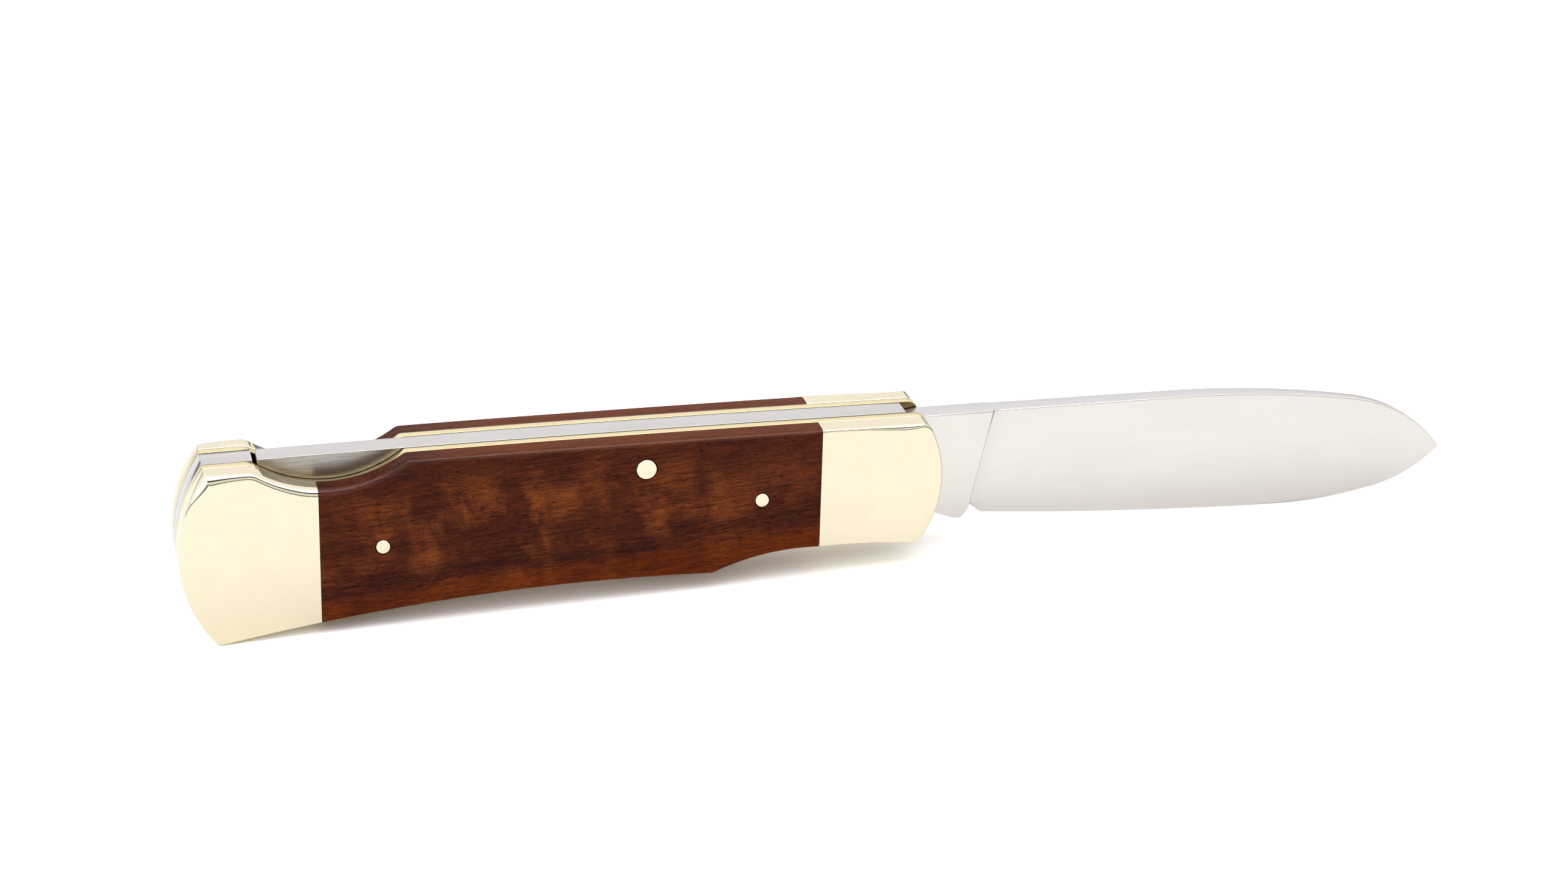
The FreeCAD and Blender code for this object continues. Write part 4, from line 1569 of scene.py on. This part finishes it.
@dataclass
class HiddenFittings:
    """Rivets, pivot pin and washers, whose CAD shapes stay and are only dressed."""

    nodes: tuple[str, ...] = (
        "pivot_pin", "left_pivot_washer", "right_pivot_washer", "upper_spacer_rivet", "lower_spacer_rivet",
        "left_upper_bolster_rivet", "left_lower_bolster_rivet",
        "right_upper_bolster_rivet", "right_lower_bolster_rivet",
    )

    def build(self) -> None:
        """Give each node the finish of its slot."""
        slots = {part["node"]: part["material_slot"] for part in frame["record"]["subparts"]}
        for node in self.nodes:
            wear(frame["nodes"][node].data, slots[node])
            log.info("%s: dressed as %s", node, slots[node])


# The studio

@dataclass
class Studio:
    """White table, light tent, lamps and the camera at the photograph's place."""

    eye: tuple[float, float, float] = (-0.11346, -0.4430, 0.2290)
    ahead: tuple[float, float, float] = (0.2119, 0.8831, -0.4187)
    above: tuple[float, float, float] = (0.1051, 0.4054, 0.9082)
    lens: float = 80.96
    sensor: float = 36.0
    nearest: float = 0.01
    tent: tuple[tuple[float, float], ...] = (
        (0.0, 0.50), (1.0, 0.08), (7.5, 0.08), (11.0, 0.60), (18.0, 0.80), (34.0, 0.84), (37.0, 0.06),
        (52.0, 0.06), (55.0, 1.7), (76.0, 1.7), (84.0, 1.0), (125.0, 0.94), (150.0, 0.92), (171.0, 0.92),
        (174.0, 0.15), (180.0, 0.15),
    )
    horizon: float = 0.28
    zenith: float = 1.0
    floor_size: float = 8.0
    floor_height: float = -0.00001
    floor_level: float = 0.80
    floor_white: float = 1.75
    floor_mirrored: float = 1.02

    def build(self) -> None:
        """Set the whole stage."""
        bpy.context.scene.view_settings.view_transform = "Standard"
        self.floor()
        self.world()
        self.lamp("overhead_softbox", (-0.05, -0.22, 0.75), (0.80, 0.45), 1.7)
        self.lamp("left_softbox", (-0.65, -0.45, 0.42), (0.40, 0.40), 0.8)
        self.camera()

    @staticmethod
    def seen(recipe: Recipe, matt: object, mirrored: object, straight: object) -> Signal:
        """A colour that differs by what sees it.

        Args:
            recipe: the tree.
            matt: what matt surfaces get.
            mirrored: what polished ones mirror.
            straight: what the camera sees, also through glass.

        Returns:
            The colour.
        """
        path = recipe.node("ShaderNodeLightPath", output="Is Camera Ray")
        colour = path.out("Is Glossy Ray").mix(matt, mirrored)
        return (path + path.out("Is Transmission Ray")).held().mix(colour, straight)

    def floor(self) -> None:
        """A pale table that looks white and keeps the shadow."""
        bpy.ops.object.select_all(action="DESELECT")
        bpy.ops.mesh.primitive_plane_add(size=self.floor_size, location=(0, 0, self.floor_height))
        table = bpy.context.object
        table.name = "white_table"
        material = bpy.data.materials.new("white_table")
        material.use_nodes = True
        recipe = Recipe(material.node_tree)
        colour = self.seen(recipe, grey(self.floor_level), grey(self.floor_mirrored), grey(self.floor_white))
        matt = recipe.node("ShaderNodeBsdfDiffuse", {"Color": colour})
        recipe.node("ShaderNodeOutputMaterial", {"Surface": matt})
        table.data.materials.append(material)

    def world(self) -> None:
        """A dome that is brighter overhead, a tent with seams for polished metal, white for the camera."""
        world = bpy.data.worlds.new("light_tent")
        bpy.context.scene.world = world
        world.use_nodes = True
        recipe = Recipe(world.node_tree)
        _, across, up = recipe.node("ShaderNodeTexCoord", output="Generated").axes()
        turn = up.maths("ARCTAN2", up, across * -1.0) * (1 / math.pi)
        stops = [(degrees / 180, grey(level)) for degrees, level in self.tent]
        seams = recipe.node("ShaderNodeValToRGB", {"Fac": turn}, {"stops": stops})
        dome = up.held().mix(grey(self.horizon), grey(self.zenith))
        light = self.seen(recipe, dome, seams, grey(1.0))
        shade = recipe.node("ShaderNodeBackground", {"Color": light, "Strength": 1.0})
        recipe.node("ShaderNodeOutputWorld", {"Surface": shade})

    def lamp(self, name: str, place: Sequence[float], size: Point, power: float) -> None:
        """Hang a soft lamp that faces the knife.

        Args:
            name: name of the lamp.
            place: where it hangs.
            size: its width and depth.
            power: its power in watts.
        """
        bpy.ops.object.select_all(action="DESELECT")
        bpy.ops.object.light_add(type="AREA", location=place)
        lamp = bpy.context.object
        lamp.name = name
        lamp.data.shape = "RECTANGLE"
        lamp.data.size, lamp.data.size_y = size
        lamp.data.energy = power
        lamp.rotation_euler = (-Vector(place)).to_track_quat("-Z", "Y").to_euler()

    def camera(self) -> None:
        """Stand the camera where the photograph was taken."""
        bpy.ops.object.select_all(action="DESELECT")
        bpy.ops.object.camera_add(location=self.eye)
        camera = bpy.context.object
        ahead, above = Vector(self.ahead).normalized(), Vector(self.above)
        right = ahead.cross(above).normalized()
        turn = Matrix((right, right.cross(ahead), -ahead)).transposed().to_4x4()
        camera.matrix_world = Matrix.Translation(self.eye) @ turn
        camera.data.sensor_fit = "HORIZONTAL"
        camera.data.sensor_width = self.sensor
        camera.data.lens = self.lens
        camera.data.clip_start = self.nearest
        bpy.context.scene.camera = camera


def main() -> None:
    """Build the knife piece by piece, then its stage."""
    logging.basicConfig(level=logging.INFO, format="%(name)s: %(message)s")
    shape, layers = HandleOutline(), Layers()
    core = Core(shape, layers)
    core.build()
    for side in Side:
        Covers(side, shape, layers, core.pin).build()
    Blade().build()
    HiddenFittings().build()
    Studio().build()


if __name__ == "__main__":
    main()
